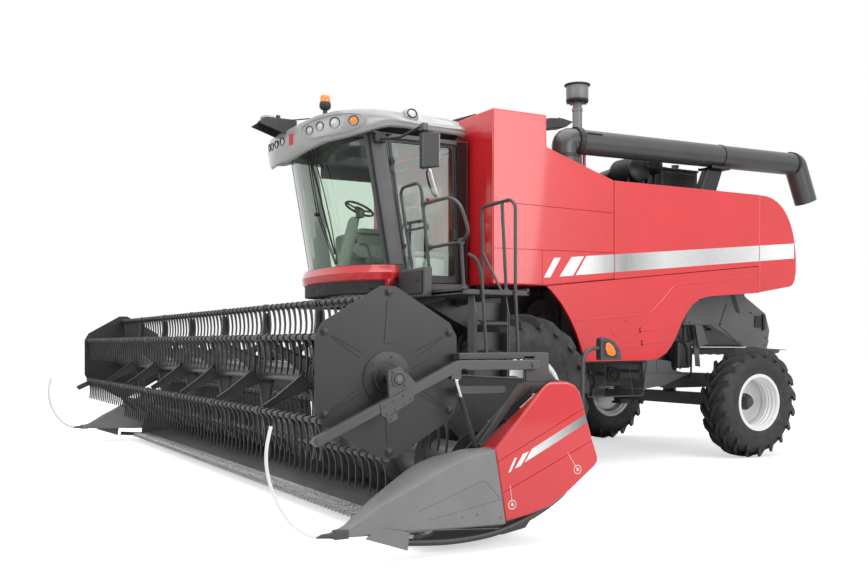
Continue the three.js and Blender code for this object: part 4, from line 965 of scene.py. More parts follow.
def end_shield(side, name):
    """The red cover over the drives at the table's end."""
    profile = [(-2.302, 0.193), (-2.395, 0.70), (-1.975, 1.14), (-1.93, 1.164), (-1.77, 1.162),
            (-1.70, 1.135), (-1.655, 1.085), (-1.543, 0.739), (-1.492, 0.60), (-1.495, 0.565),
            (-1.52, 0.535), (-1.75, 0.37), (-1.913, 0.274), (-2.1, 0.225)]
    cover = plate("cover", "x", profile, side * SHIELD_IN, side * (SHIELD_OUT - 0.0014))
    # the top face slopes: its inner edge climbs straight to the rear corner
    inner = {(-2.395, 0.70): (-2.412, 0.705), (-1.975, 1.14): (-1.88, 1.085),
            (-1.93, 1.164): (-1.80, 1.135), (-1.77, 1.162): (-1.735, 1.158)}
    for vertex in cover.data.vertices:
        if abs(abs(vertex.co.x) - SHIELD_IN) < 1e-4:
            for (y, z), to in inner.items():
                if abs(vertex.co.y - y) < 1e-4 and abs(vertex.co.z - z) < 1e-4:
                    vertex.co.y, vertex.co.z = to
                    break
    softened(cover, 0.016, 4, 50)
    for z_front, z_rear in ((0.382, 0.725), (0.62, 1.0)):
        (y0, y1) = (-2.36, -1.55)
        normal = (0, -(z_rear - z_front), y1 - y0)
        groove(cover, (0, y0, z_front), normal, lambda p: abs(p.normal.x) > 0.9
                and p.center.x * side > SHIELD_OUT - 0.02, 0.005, 0.006)
    reshaded(cover)
    tab = block("tab", (min(side * 4.4925, side * 4.53), -2.2, 0.42),
            (max(side * 4.4925, side * 4.53), -1.85, 0.52), 0.004)
    seat(joined(f"end_shield_{name}_cover", cover, tab), "header", "painted_red", red_enamel,
            f"end_shield_{name}")
    strip = lofted("edge_strip",
            [[(side * px, y + d, z + h) for px, h, d in ((4.495, -0.03, 0.01), (4.495, 0.014, 0),
            (4.53, 0.018, 0), (4.545, 0.004, 0.004), (4.545, -0.03, 0.01))] for y,
            z in ((-2.42, 0.705), (-2.1, 0.93), (-1.88, 1.085), (-1.79, 1.14), (-1.74, 1.155))],
            angle=math.radians(24))
    strap = plate("strip_rib", "x", [(-2.2, 0.9), (-1.98, 1.06), (-1.93, 1.12), (-1.95, 1.13),
            (-2.0, 1.075), (-2.22, 0.91)], side * 4.475, side * 4.494, 0.003)
    seat(joined(f"shield_strip_{name}", strip, strap), "header", "header_charcoal", locker_dark)
    stay = pipe("stay", [(side * 4.528, -2.07, 0.972), (side * 4.528, -2.05, 0.985),
            (side * 4.528, -1.95, 1.06)], 0.0055, 0)
    eye = turned("stay_eye", "x", [(-0.006, 0), (-0.006, 0.014), (0.006, 0.014), (0.006, 0)],
            (side * 4.528, -1.95, 1.06), 14)
    seat(joined(f"shield_stay_{name}", stay, eye), "header", "bright_steel", pale_steel)
    shield_foil(f"shield_bar_small_{name}", [(-2.285, 0.535), (-2.263, 0.541), (-2.21, 0.638),
            (-2.232, 0.634)], stripe_white, side)
    shield_foil(f"shield_bar_mid_{name}", [(-2.229, 0.56), (-2.178, 0.578), (-2.11, 0.675),
            (-2.162, 0.66)], stripe_white, side)
    shield_foil(f"shield_band_{name}", [(-2.147, 0.598), (-1.592, 0.86), (-1.612, 0.918), (-2.085, 0.69)],
            band_silver, side)
    bits = []
    x = side * (SHIELD_OUT - 0.001)
    for (y, z), (top_y, top_z) in (((-2.251, 0.308), (-2.267, 0.44)), ((-1.681, 0.52), (-1.77, 0.648))):
        bits.append(turned("cup", "x", [(-side * 0.012, 0), (-side * 0.012, 0.022), (0, 0.028), (0, 0.034),
                (-side * 0.002, 0.034), (-side * 0.014, 0.026)], (x, y, z), 24))
        bits.append(turned("catch", "x", [(-side * 0.01, 0), (-side * 0.01, 0.012), (side * 0.001, 0.012),
                (side * 0.001, 0)], (x, y, z), 12))
        bits.append(pipe("wire", [(x - side * 0.001, y, z), (x - side * 0.001, top_y, top_z)], 0.0028, 0,
                2))
    seat(joined(f"shield_latches_{name}", bits), "header", "bright_steel", zinc)
    rail = [(side * 4.6, -3.05, 0.105), (side * 4.6, -2.7, 0.075), (side * 4.6, -2.3, 0.10),
            (side * 4.6, -1.95, 0.22), (side * 4.6, -1.74, 0.34), (side * 4.6, -1.66, 0.44)]
    skid = pipe("skid", rail, 0.026, 0.25, 3)
    seat(joined(f"shield_skid_{name}", skid), "header", "header_charcoal", header_paint)


def band_foil():
    """Foil that darkens from white to grey along its length."""
    material, tree, shader, place = finish("shield band foil")
    split = tree.nodes.new("ShaderNodeSeparateXYZ")
    tree.links.new(place, split.inputs["Vector"])
    along = tree.nodes.new("ShaderNodeMapRange")
    along.inputs["From Min"].default_value = AXLE_Y - 2.14
    along.inputs["From Max"].default_value = AXLE_Y - 1.6
    tree.links.new(split.outputs["Y"], along.inputs["Value"])
    tree.links.new(between(tree, along.outputs["Result"], (0.8, 0.8, 0.8), (0.2, 0.2, 0.205), 0.1, 0.95),
            shader.inputs["Base Color"])
    tree.links.new(between(tree, noise(tree, place, 12, 3), 0.24, 0.32), shader.inputs["Roughness"])
    return material


band_silver = band_foil()

NOSE_RIDGE = [(-3.6, 0.222), (-3.5, 0.25), (-3.402, 0.303), (-3.313, 0.365), (-3.133, 0.437),
        (-2.964, 0.512), (-2.757, 0.602), (-2.578, 0.666), (-2.391, 0.699)]
NOSE_CROWN = [(-3.6, 0.23), (-3.5, 0.262), (-3.402, 0.325), (-3.3, 0.393), (-3.183, 0.455),
        (-3.069, 0.525), (-2.963, 0.585), (-2.8, 0.65), (-2.586, 0.692), (-2.397, 0.697)]
NOSE_FOOT = [(-3.6, 0.196), (-3.277, 0.19), (-3.09, 0.19), (-2.9, 0.183), (-2.391, 0.174)]
NOSE_IN = [(-3.6, 4.65), (-3.4, 4.57), (-3.2, 4.505), (-2.85, 4.44), (-2.7, 4.4935), (-2.33, 4.4935)]


def divider_nose(side, name):
    """The smooth grey crop divider ahead of the shield: a flat flank, a crisp ridge, a sloping crown."""
    rings = []
    stations = [-3.6, -3.55, -3.5, -3.45, -3.4, -3.35, -3.29, -3.2, -3.1, -2.99, -2.88, -2.78, -2.69,
            -2.58, -2.48, -2.391]
    for y in stations:
        ridge, crown, foot, inner = (follow(line, y) for line in (NOSE_RIDGE, NOSE_CROWN, NOSE_FOOT,
                NOSE_IN))
        outer = SHIELD_OUT - 0.0005 - 0.02 * max(0.0, (-3.42 - y) / 0.18) ** 1.5
        width, height = outer - inner, ridge - foot
        ring = [(outer - 0.012, y, foot), (outer, y, foot + 0.012), (outer, y, foot + height * 0.5),
                (outer, y, ridge - 0.004), (outer - 0.004, y, ridge)]
        for share, lift in ((0.3, 0.45), (0.6, 0.82), (0.8, 0.97), (0.92, 0.9)):
            ring.append((outer - width * share, y, ridge + (crown - ridge) * lift
                    + 0.01 * math.sin(math.pi * share)))
        ring += [(inner, y, crown - 0.03 * min(1, height * 4)), (inner, y, foot + height * 0.4),
                (inner + 0.012, y, foot)]
        rings.append([(side * px, py, pz) for px, py, pz in ring])
    # the rear edge is straight and leans with the shield's front edge
    rings.append([(px, -2.307 - 0.088 * max(0.0, pz - 0.193) / 0.51, pz) for px, py, pz in rings[-1]])
    nose = lofted("nose", rings, angle=math.radians(28))
    clamp = block("clamp", (min(side * 4.648, side * 4.7), -3.6, 0.188),
            (max(side * 4.648, side * 4.7), -3.5, 0.248), 0.006)
    tip = [[(side * (4.674 + 0.026 * k * math.cos(a)), y, 0.216 + 0.024 * k * math.sin(a))
            for a in [math.radians(30 * i) for i in range(12)]] for y,
            k in ((-3.58, 0.9), (-3.6, 1.0), (-3.615, 0.95), (-3.62, 0.8), (-3.715, 0.46), (-3.72, 0.34))]
    sleeve = lofted("sleeve", tip)
    folds = []
    for line in (((-3.0, 0.32), (-2.481, 0.497), (-2.352, 0.362)), ((-2.925, 0.255), (-2.344, 0.354)),
            ((-3.277, 0.241), (-3.081, 0.201), (-2.361, 0.152))):
        folds.append(pipe("fold", [(side * (SHIELD_OUT - 0.0012), y, z) for y, z in line], 0.0026, 0.03, 1))
    bolts = [rod("bolt", (side * (SHIELD_OUT - 0.004), y, z), (side * (SHIELD_OUT - 0.0002), y, z), 0.011,
            8) for y, z in ((-2.66, 0.255), (-2.54, 0.262), (-2.35, 0.225))]
    fin = plate("fin", "x", [(-3.381, 0.173), (-3.289, 0.253), (-3.063, 0.188), (-3.077, 0.069)],
            side * 4.686, side * 4.7005, 0.003)
    seat(joined(f"divider_nose_{name}_shell", nose, fin), "header", "grey_plastic", nose_plastic,
            f"divider_nose_{name}")
    seat(joined(f"nose_tip_{name}", clamp, sleeve), "header", "grey_plastic", mirror_grey)
    seat(joined(f"nose_marks_{name}", bolts, folds), "header", "header_charcoal", sheet_paint)
    x = side * (SHIELD_OUT - 0.026)
    path = [(x, -3.66, 0.216), (x, -3.74, 0.222), (x + side * 0.006, -3.81, 0.255),
            (x + side * 0.01, -3.885, 0.315), (x + side * 0.012, -3.965, 0.42),
            (x + side * 0.014, -4.025, 0.56), (x + side * 0.014, -4.052, 0.69),
            (x + side * 0.014, -4.05, 0.80), (x + side * 0.014, -4.02, 0.93)]
    wand = pipe("wand", path, 0.0112, 0.3, 4)
    seat(joined(f"divider_rod_{name}", wand), "header", "bright_steel", rod_white, f"divider_nose_{name}")


rod_white = paint("white rod paint", (0.82, 0.82, 0.82), 0.3, coat=0.2, mottle=0.03, grain=0.1)

knife()
auger()
trough()
for name, side in (("left", 1), ("right", -1)):
    end_shield(side, name)
    divider_nose(side, name)


# ---------------------------------------------------------------- wheels
def lug(width, radius, depth, half_width):
    """One bent tread bar: from near the tyre's centre line out over its shoulder."""
    bar = width
    # share of the half width, share of the lugs' pitch
    path = [(0.015, -0.5), (0.22, -0.2), (0.46, 0.08), (0.7, 0.28), (0.88, 0.4), (1.0, 0.46)]
    ring = 2 * math.pi * radius / LUG_COUNT
    corners = []
    for across_share, along_share in path:
        corners.append((across_share * half_width, along_share * ring * 1.35))
    left = [(x, y - bar * 0.5) for x, y in corners]
    right = [(x, y + bar * 0.5) for x, y in reversed(corners)]
    piece = plate("lug", "z", left + right, 0, depth)
    top = [v for v in piece.data.vertices if v.co.z > depth / 2]
    for vertex in top:
        middle = min(corners, key=lambda c: abs(c[0] - vertex.co.x))
        vertex.co.y += (middle[1] - vertex.co.y) * 0.34
    for vertex in piece.data.vertices:
        x, y, z = vertex.co
        share = x / half_width
        drop = radius * 0.10 * max(0.0, share - 0.5) ** 2 / 0.24
        reach = radius - drop if z > depth / 2 else radius - depth * (1.25 + 2.2 * max(0.0, share - 0.45))
        angle = y / radius
        vertex.co = (x, reach * math.sin(angle), reach * math.cos(angle))
    face_outwards(piece)
    return softened(piece, 0.005, 1, 25)


LUG_COUNT = 19


def tyre(node, name, body, rim_radius, bead_half):
    low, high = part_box(node)
    centre = (low + high) / 2
    radius, half = (high.z - low.z) / 2, (high.x - low.x) / 2
    depth = 0.062 * radius / 0.88
    skin = radius - depth
    wall = skin - rim_radius
    bulge = half - 0.012
    profile = [(bead_half, rim_radius + 0.001), (bead_half + 0.008, rim_radius + 0.02),
            (bulge * 0.95, rim_radius + wall * 0.24), (bulge, rim_radius + wall * 0.42),
            (bulge * 0.995, rim_radius + wall * 0.54), (bulge * 0.95, rim_radius + wall * 0.68),
            (bulge * 0.86, skin - wall * 0.17), (bulge * 0.72, skin - wall * 0.08),
            (bulge * 0.5, skin - wall * 0.03), (bulge * 0.25, skin - 0.002), (0, skin)]
    profile = profile + [(-a, r) for a, r in reversed(profile[:-1])]
    carcass = turned("carcass", "x", profile, (0, 0, 0), 64)
    beads = [turned("bead", "x", [(s * bulge * 0.955, r - 0.004), (s * (bulge * 0.955 + 0.006), r),
            (s * bulge * 0.955, r + 0.004)], (0, 0, 0), 64) for s in (-1, 1)
            for r in (rim_radius + wall * 0.31,)]
    one = lug(0.082 * radius / 0.88, radius, depth, half * 0.985)
    lugs = []
    for i in range(LUG_COUNT):
        lugs.append(spun(twin(one, "lug"), "X", 360 / LUG_COUNT * i))
        other = across(one, "lug")
        lugs.append(spun(other, "X", 360 / LUG_COUNT * (i + 0.5)))
    bpy.data.objects.remove(one)
    whole = joined(name, carcass, beads, lugs)
    moved(whole, *centre)
    return seat(whole, body, "tyre_rubber", rubber, node, shift=False)


def rim(node, name, body, side, rim_radius, bead_half, hub, stud_count, dish):
    low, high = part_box(node)
    centre = (low + high) / 2
    o = side                                                  # outwards
    inner = rim_radius - 0.014
    lip = bead_half + 0.012
    barrel = [(lip, inner), (lip, rim_radius + 0.024), (lip - 0.012, rim_radius + 0.026),
            (lip - 0.012, rim_radius), (0.012 - lip, rim_radius), (0.012 - lip, rim_radius + 0.026),
            (-lip, rim_radius + 0.024), (-lip, inner), (-lip * 0.86, inner), (-lip * 0.8, inner - 0.03),
            (dish, inner - 0.034), (lip * 0.2, inner - 0.034), (lip * 0.24, inner - 0.024),
            (lip * 0.42, inner - 0.024), (lip * 0.46, inner - 0.012), (lip * 0.7, inner - 0.012),
            (lip * 0.74, inner - 0.002), (lip * 0.9, inner - 0.002), (lip * 0.93, inner + 0.006),
            (lip * 0.98, inner + 0.006)]
    disc = [(dish + 0.024, hub * 0.6), (dish + 0.024, hub * 1.1), (dish + 0.03, inner * 0.5),
            (dish + 0.012, inner * 0.74), (dish + 0.02, inner * 0.84), (dish + 0.045, inner * 0.9),
            (dish + 0.05, inner - 0.032), (dish + 0.036, inner - 0.032), (dish + 0.03, inner * 0.88),
            (dish + 0.004, inner * 0.82), (dish - 0.002, inner * 0.74), (dish + 0.016, inner * 0.5),
            (dish + 0.01, hub * 1.1), (dish + 0.01, hub * 0.6)]
    cap = [(dish, hub * 0.62), (dish + 0.02, hub * 0.62), (dish + 0.024, hub * 1.02),
            (dish + 0.045, hub * 0.98), (dish + 0.05, hub * 0.66), (0.022, hub * 0.6), (0.034, hub * 0.52),
            (0.04, hub * 0.3), (0.04, 0), (0.03, 0), (-0.02, hub * 0.4), (-0.028, hub * 0.56),
            (dish, hub * 0.56)]
    shell = turned("shell", "x", [(o * a, r) for a, r in barrel], steps=64)
    face = turned("disc", "x", [(o * a, r) for a, r in disc], steps=64)
    centre_hub = turned("hub", "x", [(o * a, r) for a, r in cap], steps=40)
    studs = []
    for y, z in ring_points(hub * 0.84, stud_count):
        studs.append(rod("stud", (o * (dish + 0.04), y, z), (o * (dish + 0.075), y, z), hub * 0.055, 8))
        studs.append(rod("nut", (o * (dish + 0.04), y, z), (o * (dish + 0.062), y, z), hub * 0.10, 6,
                0.002))
    for piece in (shell, face, centre_hub, *studs):
        moved(piece, *centre)
    seat(joined(f"{name}_barrel", shell), body, "rim_silver", wheel_white, node, shift=False)
    seat(joined(f"{name}_disc", face), body, "rim_silver", wheel_silver, node, shift=False)
    seat(joined(f"{name}_hub", centre_hub, studs), body, "frame_charcoal", frame_paint, node, shift=False)


for end, rim_radius, bead_half, hub, studs, dish in (("front", 0.41, 0.25, 0.2, 10, -0.09),
        ("rear", 0.334, 0.17, 0.105, 8, -0.085)):
    for side, name in SIDES:
        tyre(f"{end}_tyre_{name}", f"{end}_tyre_{name}_tread", f"{end}_wheel_{name}", rim_radius, bead_half)
        rim(f"{end}_rim_{name}", f"{end}_rim_{name}", f"{end}_wheel_{name}", side, rim_radius, bead_half,
                hub, studs, dish)


# ---------------------------------------------------------------- red body
SIDE_X = 1.5
TANK_REAR = 1.29
HOOD_FRONT, HOOD_REAR = 3.64, 4.318


def on_side(polygon):
    return abs(polygon.normal.x) > 0.95 and abs(abs(polygon.center.x) - SIDE_X) < 0.01


def side_groove(piece, start, end, width=0.006, depth=0.008, keep=None):
    """A panel joint on both sides of a piece, along the line through two (y, z) points."""
    (y0, z0), (y1, z1) = start, end
    normal = (0, -(z1 - z0), y1 - y0)
    for side in (1, -1):
        groove(piece, (0, y0, z0), normal, lambda p: on_side(p) and p.center.x * side > 0
                and (keep is None or keep(p.center)), width, depth)
    return piece


def red_tank():
    tank = on_axle(from_cad("grain_tank", "grain_tank_body"))
    softened(tank, 0.028, 4, 40)
    side_groove(tank, (-0.38, 2.975), (1.29, 2.95))
    side_groove(tank, (-0.38, 2.47), (1.29, 2.49), keep=lambda c: c.z < 2.96)
    side_groove(tank, (0.267, 2.0), (0.267, 2.6), keep=lambda c: c.z < 2.49)
    reshaded(tank)
    seat(tank, "chassis", "painted_red", red_enamel, "grain_tank")


def foil(name, points, coating, side):
    """Thin foil on the side of the body; points are (y, z)."""
    piece = plate(name, "x", points, side * (SIDE_X - 0.0002), side * (SIDE_X + 0.0012))
    return seat(piece, "chassis", "painted_red", coating)


STRIPE_TOP, STRIPE_FOOT = (0.88, 2.436), (0.73, 2.212)
STRIPE_RISE_TOP, STRIPE_RISE_FOOT = 0.091, 0.0955


def stripe_line(y, top=True):
    start, rise = (STRIPE_TOP, STRIPE_RISE_TOP) if top else (STRIPE_FOOT, STRIPE_RISE_FOOT)
    return start[1] + (y - start[0]) * rise


def stripes(side, name):
    """The slanted bars and the long silver stripe, broken at the panel joints."""
    foil(f"bar_small_{name}", [(0.289, 2.172), (0.376, 2.176), (0.521, 2.402), (0.43, 2.395)],
            stripe_white, side)
    foil(f"bar_large_{name}", [(0.504, 2.19), (0.69, 2.206), (0.846, 2.432), (0.672, 2.416)], stripe_white,
            side)
    joints = [TANK_REAR, HOOD_FRONT, HOOD_REAR - 0.04]
    start_top, start_foot = STRIPE_TOP[0], STRIPE_FOOT[0]
    for number, joint in enumerate(joints):
        end = joint - 0.006
        points = [(start_foot, stripe_line(start_foot, False)), (end, stripe_line(end, False)),
                (end, stripe_line(end)), (start_top, stripe_line(start_top))]
        foil(f"stripe_{name}_{number}", points, stripe_silver, side)
        start_top = start_foot = joint + 0.006


def oblong(y, z, length, height, slope, start=0.0):
    """A long shape with round ends, which climbs to the rear."""
    points = []
    for centre, first in ((start + length - height / 2, -90), (start + height / 2, 90)):
        for i in range(9):
            angle = math.radians(first + i * 22.5)
            a, b = centre + height / 2 * math.cos(angle), height / 2 * math.sin(angle)
            points.append((y + a, z + b + a * slope))
    return points


def pressed_vent(side, y, z, length, height, slope):
    """One long pressing: a soft rib to the rear, and to the front a hollow behind a rounded lip; a dark
    plate laid in the hollow is painted shadow.
    """
    x = side * SIDE_X
    rib = plate("rib", "x", oblong(y, z, length * 0.52, height * 0.5, slope, length * 0.48),
            x - side * 0.006, x + side * 0.008, 0.007, 3)
    rim = plate("rim", "x", oblong(y, z, length * 0.55, height, slope), x - side * 0.004, x + side * 0.006,
            0.004, 3)
    hollow = plate("hollow", "x", oblong(y, z, length * 0.5, height * 0.72, slope, 0.014),
            x - side * 0.002, x + side * 0.05)
    cut_out(rim, hollow)
    floor = plate("floor", "x", oblong(y, z, length * 0.5, height * 0.76, slope, 0.012), x - side * 0.003,
            x + side * 0.0012)
    # painted shadow: a thin plate in the red enamel painted in shade, laid where shade falls in the hollow
    dark = plate("shadow", "x", oblong(y, z, height * 0.5, height * 0.7, slope,
            length * 0.5 - height * 0.44), x + side * 0.0012, x + side * 0.0024)
    return [rib, reshaded(rim), floor], dark


def side_door(side, name):
    door = on_axle(from_cad(f"side_door_{name}", f"side_door_{name}_skin"))
    softened(door, 0.014, 3, 60)
    reshaded(door)
    seat(door, f"side_door_{name}", "painted_red", red_enamel, f"side_door_{name}")
    x = side * SIDE_X
    fold = [(0.735, 1.70), (1.80, 1.784), (1.95, 1.89), (2.17, 2.10), (2.24, 2.15), (3.625, 2.30)]
    ridge = pipe("fold", [(x - side * 0.0105, a, b) for a, b in fold], 0.016, 0.12, 4)
    pressings, shadows = [], []
    for y, z, length, height, slope in ((1.26, 1.56, 0.85, 0.085, 0.09), (1.32, 1.412, 0.79, 0.085, 0.09)):
        pieces, dark = pressed_vent(side, y, z, length, height, slope)
        pressings.append(pieces)
        shadows.append(dark)
    latch = turned("latch", "x", [(0, 0.0), (0, 0.014), (side * 0.004, 0.012), (side * 0.004, 0.0)],
            (x, 1.45, 1.70), 16)
    seat(joined(f"side_door_{name}_pressings", ridge, *pressings), f"side_door_{name}", "painted_red",
            red_enamel)
    # the painted shadows of the pressings and the latch, in the red enamel painted in shade
    seat(joined(f"side_door_{name}_vent_painted_shadows_and_latch", shadows, latch), f"side_door_{name}", "painted_red", dark_red)


def red_body():
    red_tank()
    for name, side in (("left", 1), ("right", -1)):
        panel = on_axle(from_cad(f"upper_panel_{name}", f"upper_panel_{name}_skin"))
        seat(reshaded(softened(panel, 0.004, 2, 40)), "chassis", "painted_red", red_enamel,
                f"upper_panel_{name}")
        side_door(side, name)
        stripes(side, name)
    hood = on_axle(from_cad("rear_hood", "rear_hood_skin"))
    seat(reshaded(softened(hood, 0.03, 4, 40)), "chassis", "painted_red", red_enamel, "rear_hood")


red_body()


# ---------------------------------------------------------------- cab
CAB_HALF, CAB_REAR, CAB_PILLAR, CAB_NOSE = 1.03, -0.42, -1.29, -1.79
CAB_FLOOR, CAB_SILL, CAB_TOP, CAB_LEAN = 1.99, 2.29, 3.69, 0.244
GUARD_LEAN = 0.15625                     # the hinge line's lean


def bezier(a, b, c, d, steps):
    a, b, c, d = (Vector((*p, 0)) for p in (a, b, c, d))
    for i in range(steps + 1):
        t = i / steps
        p = a * (1 - t) ** 3 + b * 3 * t * (1 - t) ** 2 + c * 3 * t * t * (1 - t) + d * t ** 3
        yield p.x, p.y


def lean(y, z):
    """How far a point of the cab lies ahead of where an upright cab would have it."""
    share = min(1, max(0, (CAB_REAR - y) / (CAB_REAR - CAB_PILLAR)))
    return CAB_LEAN * max(0, (z - CAB_SILL) / (CAB_TOP - CAB_SILL)) * share


def cab_point(x, y, z):
    return (x, y - lean(y, z), z)


def cab_plan(inset=0.0, steps=12):
    """The cab's outline seen from above, from the right pillar round the front to the left one."""
    half, pillar, nose = CAB_HALF - inset, CAB_PILLAR, CAB_NOSE + inset
    right = list(bezier((-half, pillar), (-half + 0.15, nose + 0.12), (-half + 0.48, nose), (0, nose),
            steps))
    left = [(-x, y) for x, y in reversed(right[:-1])]
    return right + left


# The roof is laid up in rings, from its underside out over the lip and up to its crown. The dark under its
# overhang is painted shade: a black skin below the grey moulding.
ROOF_HALF, ROOF_FRONT, ROOF_REAR, ROOF_SHOULDER = 1.08, -2.3, -0.44, -1.6
ROOF_LIP = [(-2.3, 3.42), (-2.27, 3.42), (-2.2, 3.48), (-2.06, 3.565), (-1.86, 3.606), (-1.6, 3.69),
        (-1.43, 3.75), (-1.26, 3.76), (-0.44, 3.745)]
ROOF_CREASE = [(-2.3, 3.76), (-2.2, 3.82), (-2.1, 3.868), (-1.94, 3.9), (-1.6, 3.907), (-1.38, 3.9),
        (-1.2, 3.858), (-0.9, 3.842), (-0.44, 3.85)]
ROOF_CROWN = [(-2.3, 3.78), (-2.2, 3.83), (-2.05, 3.89), (-1.9, 3.932), (-1.5, 3.97), (-0.9, 3.968),
        (-0.44, 3.945)]


def roof_plan():
    right = [(0.0, ROOF_REAR), (0.5, ROOF_REAR), (0.9, ROOF_REAR), (1.01, ROOF_REAR + 0.005),
            (1.055, ROOF_REAR - 0.03), (1.078, ROOF_REAR - 0.1)]
    right += [(ROOF_HALF, y / 100) for y in range(-60, -160, -9)]
    right += list(bezier((ROOF_HALF, ROOF_SHOULDER), (ROOF_HALF - 0.01, ROOF_FRONT + 0.3),
            (0.4, ROOF_FRONT), (0, ROOF_FRONT), 18))
    return right + [(-x, y) for x, y in reversed(right[1:-1])]


def roof_ring(inset, height, lift=0.0):
    ring = []
    for x, y in roof_plan():
        to_middle = Vector((-x, min(max(y, -1.5), -1.0) - y, 0))
        at = Vector((x, y, 0)) + to_middle.normalized() * min(inset, to_middle.length)
        at.z = (follow(height, at.y if inset > 0.04 else y) if isinstance(height, list) else height) + lift
        ring.append(at)
    return ring


def cab_roof():
    rings = [roof_ring(0.09, ROOF_LIP, 0.03), roof_ring(0.06, ROOF_LIP, 0.004),
            roof_ring(0.03, ROOF_LIP, 0.0), roof_ring(0.008, ROOF_LIP, 0.016), roof_ring(0, ROOF_LIP, 0.05)]
    low = [point.z for point in rings[-1]]
    high = [follow(ROOF_CREASE, y) - 0.03 for x, y in roof_plan()]
    for share, out in ((0.33, 0.012), (0.66, 0.012)):
        middle = roof_ring(-out, ROOF_LIP)
        for point, a, b in zip(middle, low, high):
            point.z = a + (b - a) * share
        rings.append(middle)
    rings += [roof_ring(0, ROOF_CREASE, -0.03), roof_ring(0.012, ROOF_CREASE, -0.004),
            roof_ring(0.02, ROOF_CREASE), roof_ring(0.032, ROOF_CREASE, 0.003),
            roof_ring(0.09, ROOF_CROWN, -0.035), roof_ring(0.15, ROOF_CROWN, -0.012),
            roof_ring(0.24, ROOF_CROWN, -0.003), roof_ring(0.5, ROOF_CROWN),
            roof_ring(0.8, ROOF_CROWN, 0.002)]
    shell = lofted("cab_roof_shell", rings, angle=math.radians(34))
    seat(shell, "chassis", "roof_grey", roof_shell, "cab_roof")
    # painted shade: a black skin under the roof's overhang, where shade falls below the grey moulding
    underside_shade = lofted("cab_roof_underside_painted_shade", [roof_ring(0.32, 3.64), roof_ring(0.26, 3.64),
            roof_ring(0.1, ROOF_LIP, 0.02), roof_ring(0.08, ROOF_LIP, 0.05),
            roof_ring(0.3, CAB_TOP + 0.09)])
    seat(underside_shade, "chassis", "deck_black", black_plastic)


def facing(piece, place, towards):
    """Turns a piece made upright at the origin so that its top faces a way, and puts it in its place."""
    turn = Vector(towards).to_track_quat("Z", "Y").to_matrix().to_4x4()
    piece.data.transform(Matrix.Translation(place) @ turn)
    return piece


def lamp(name, place, towards, radius, lens, body, depth=0.03):
    """A round lamp: a dark bezel and a domed lens with a fine rib pattern."""
    bezel = turned(name + "_bezel", "z", [(-depth, radius * 0.8), (-depth, radius), (0.006, radius),
            (0.012, radius * 0.96), (0.012, radius * 0.88), (0.002, radius * 0.84),
            (-0.006, radius * 0.8)], steps=28)
    face_outwards(bezel)
    glass = [(-0.01, 0.0), (-0.01, radius * 0.86), (0.0, radius * 0.85), (0.006, radius * 0.7),
            (0.009, radius * 0.4), (0.01, 0.0)]
    dome = turned(name + "_lens", "z", glass, steps=28)
    seat(facing(bezel, place, towards), body, "deck_black", black_plastic)
    seat(facing(dome, place, towards), body, "bright_steel", lens)


def roof_place(x, z, out=0.004):
    """A point on the roof's outer face on the left side, and the way it faces."""
    plan = roof_plan()
    near = [(a, b) for a, b in zip(plan, plan[1:]) if a[0] >= 0 and b[0] >= 0 and min(a[1], b[1]) < -1.59]
    a, b = min(near, key=lambda pair: abs((pair[0][0] + pair[1][0]) / 2 - x))
    sideways = Vector((b[1] - a[1], a[0] - b[0], 0)).normalized()
    out_way = sideways if sideways.dot(Vector((x, -1, 0))) > 0 else -sideways
    share = (x - a[0]) / (b[0] - a[0]) if abs(b[0] - a[0]) > 1e-6 else 0.5
    at = Vector((x, a[1] + (b[1] - a[1]) * share, z)) + out_way * (out + 0.012)
    return at, out_way


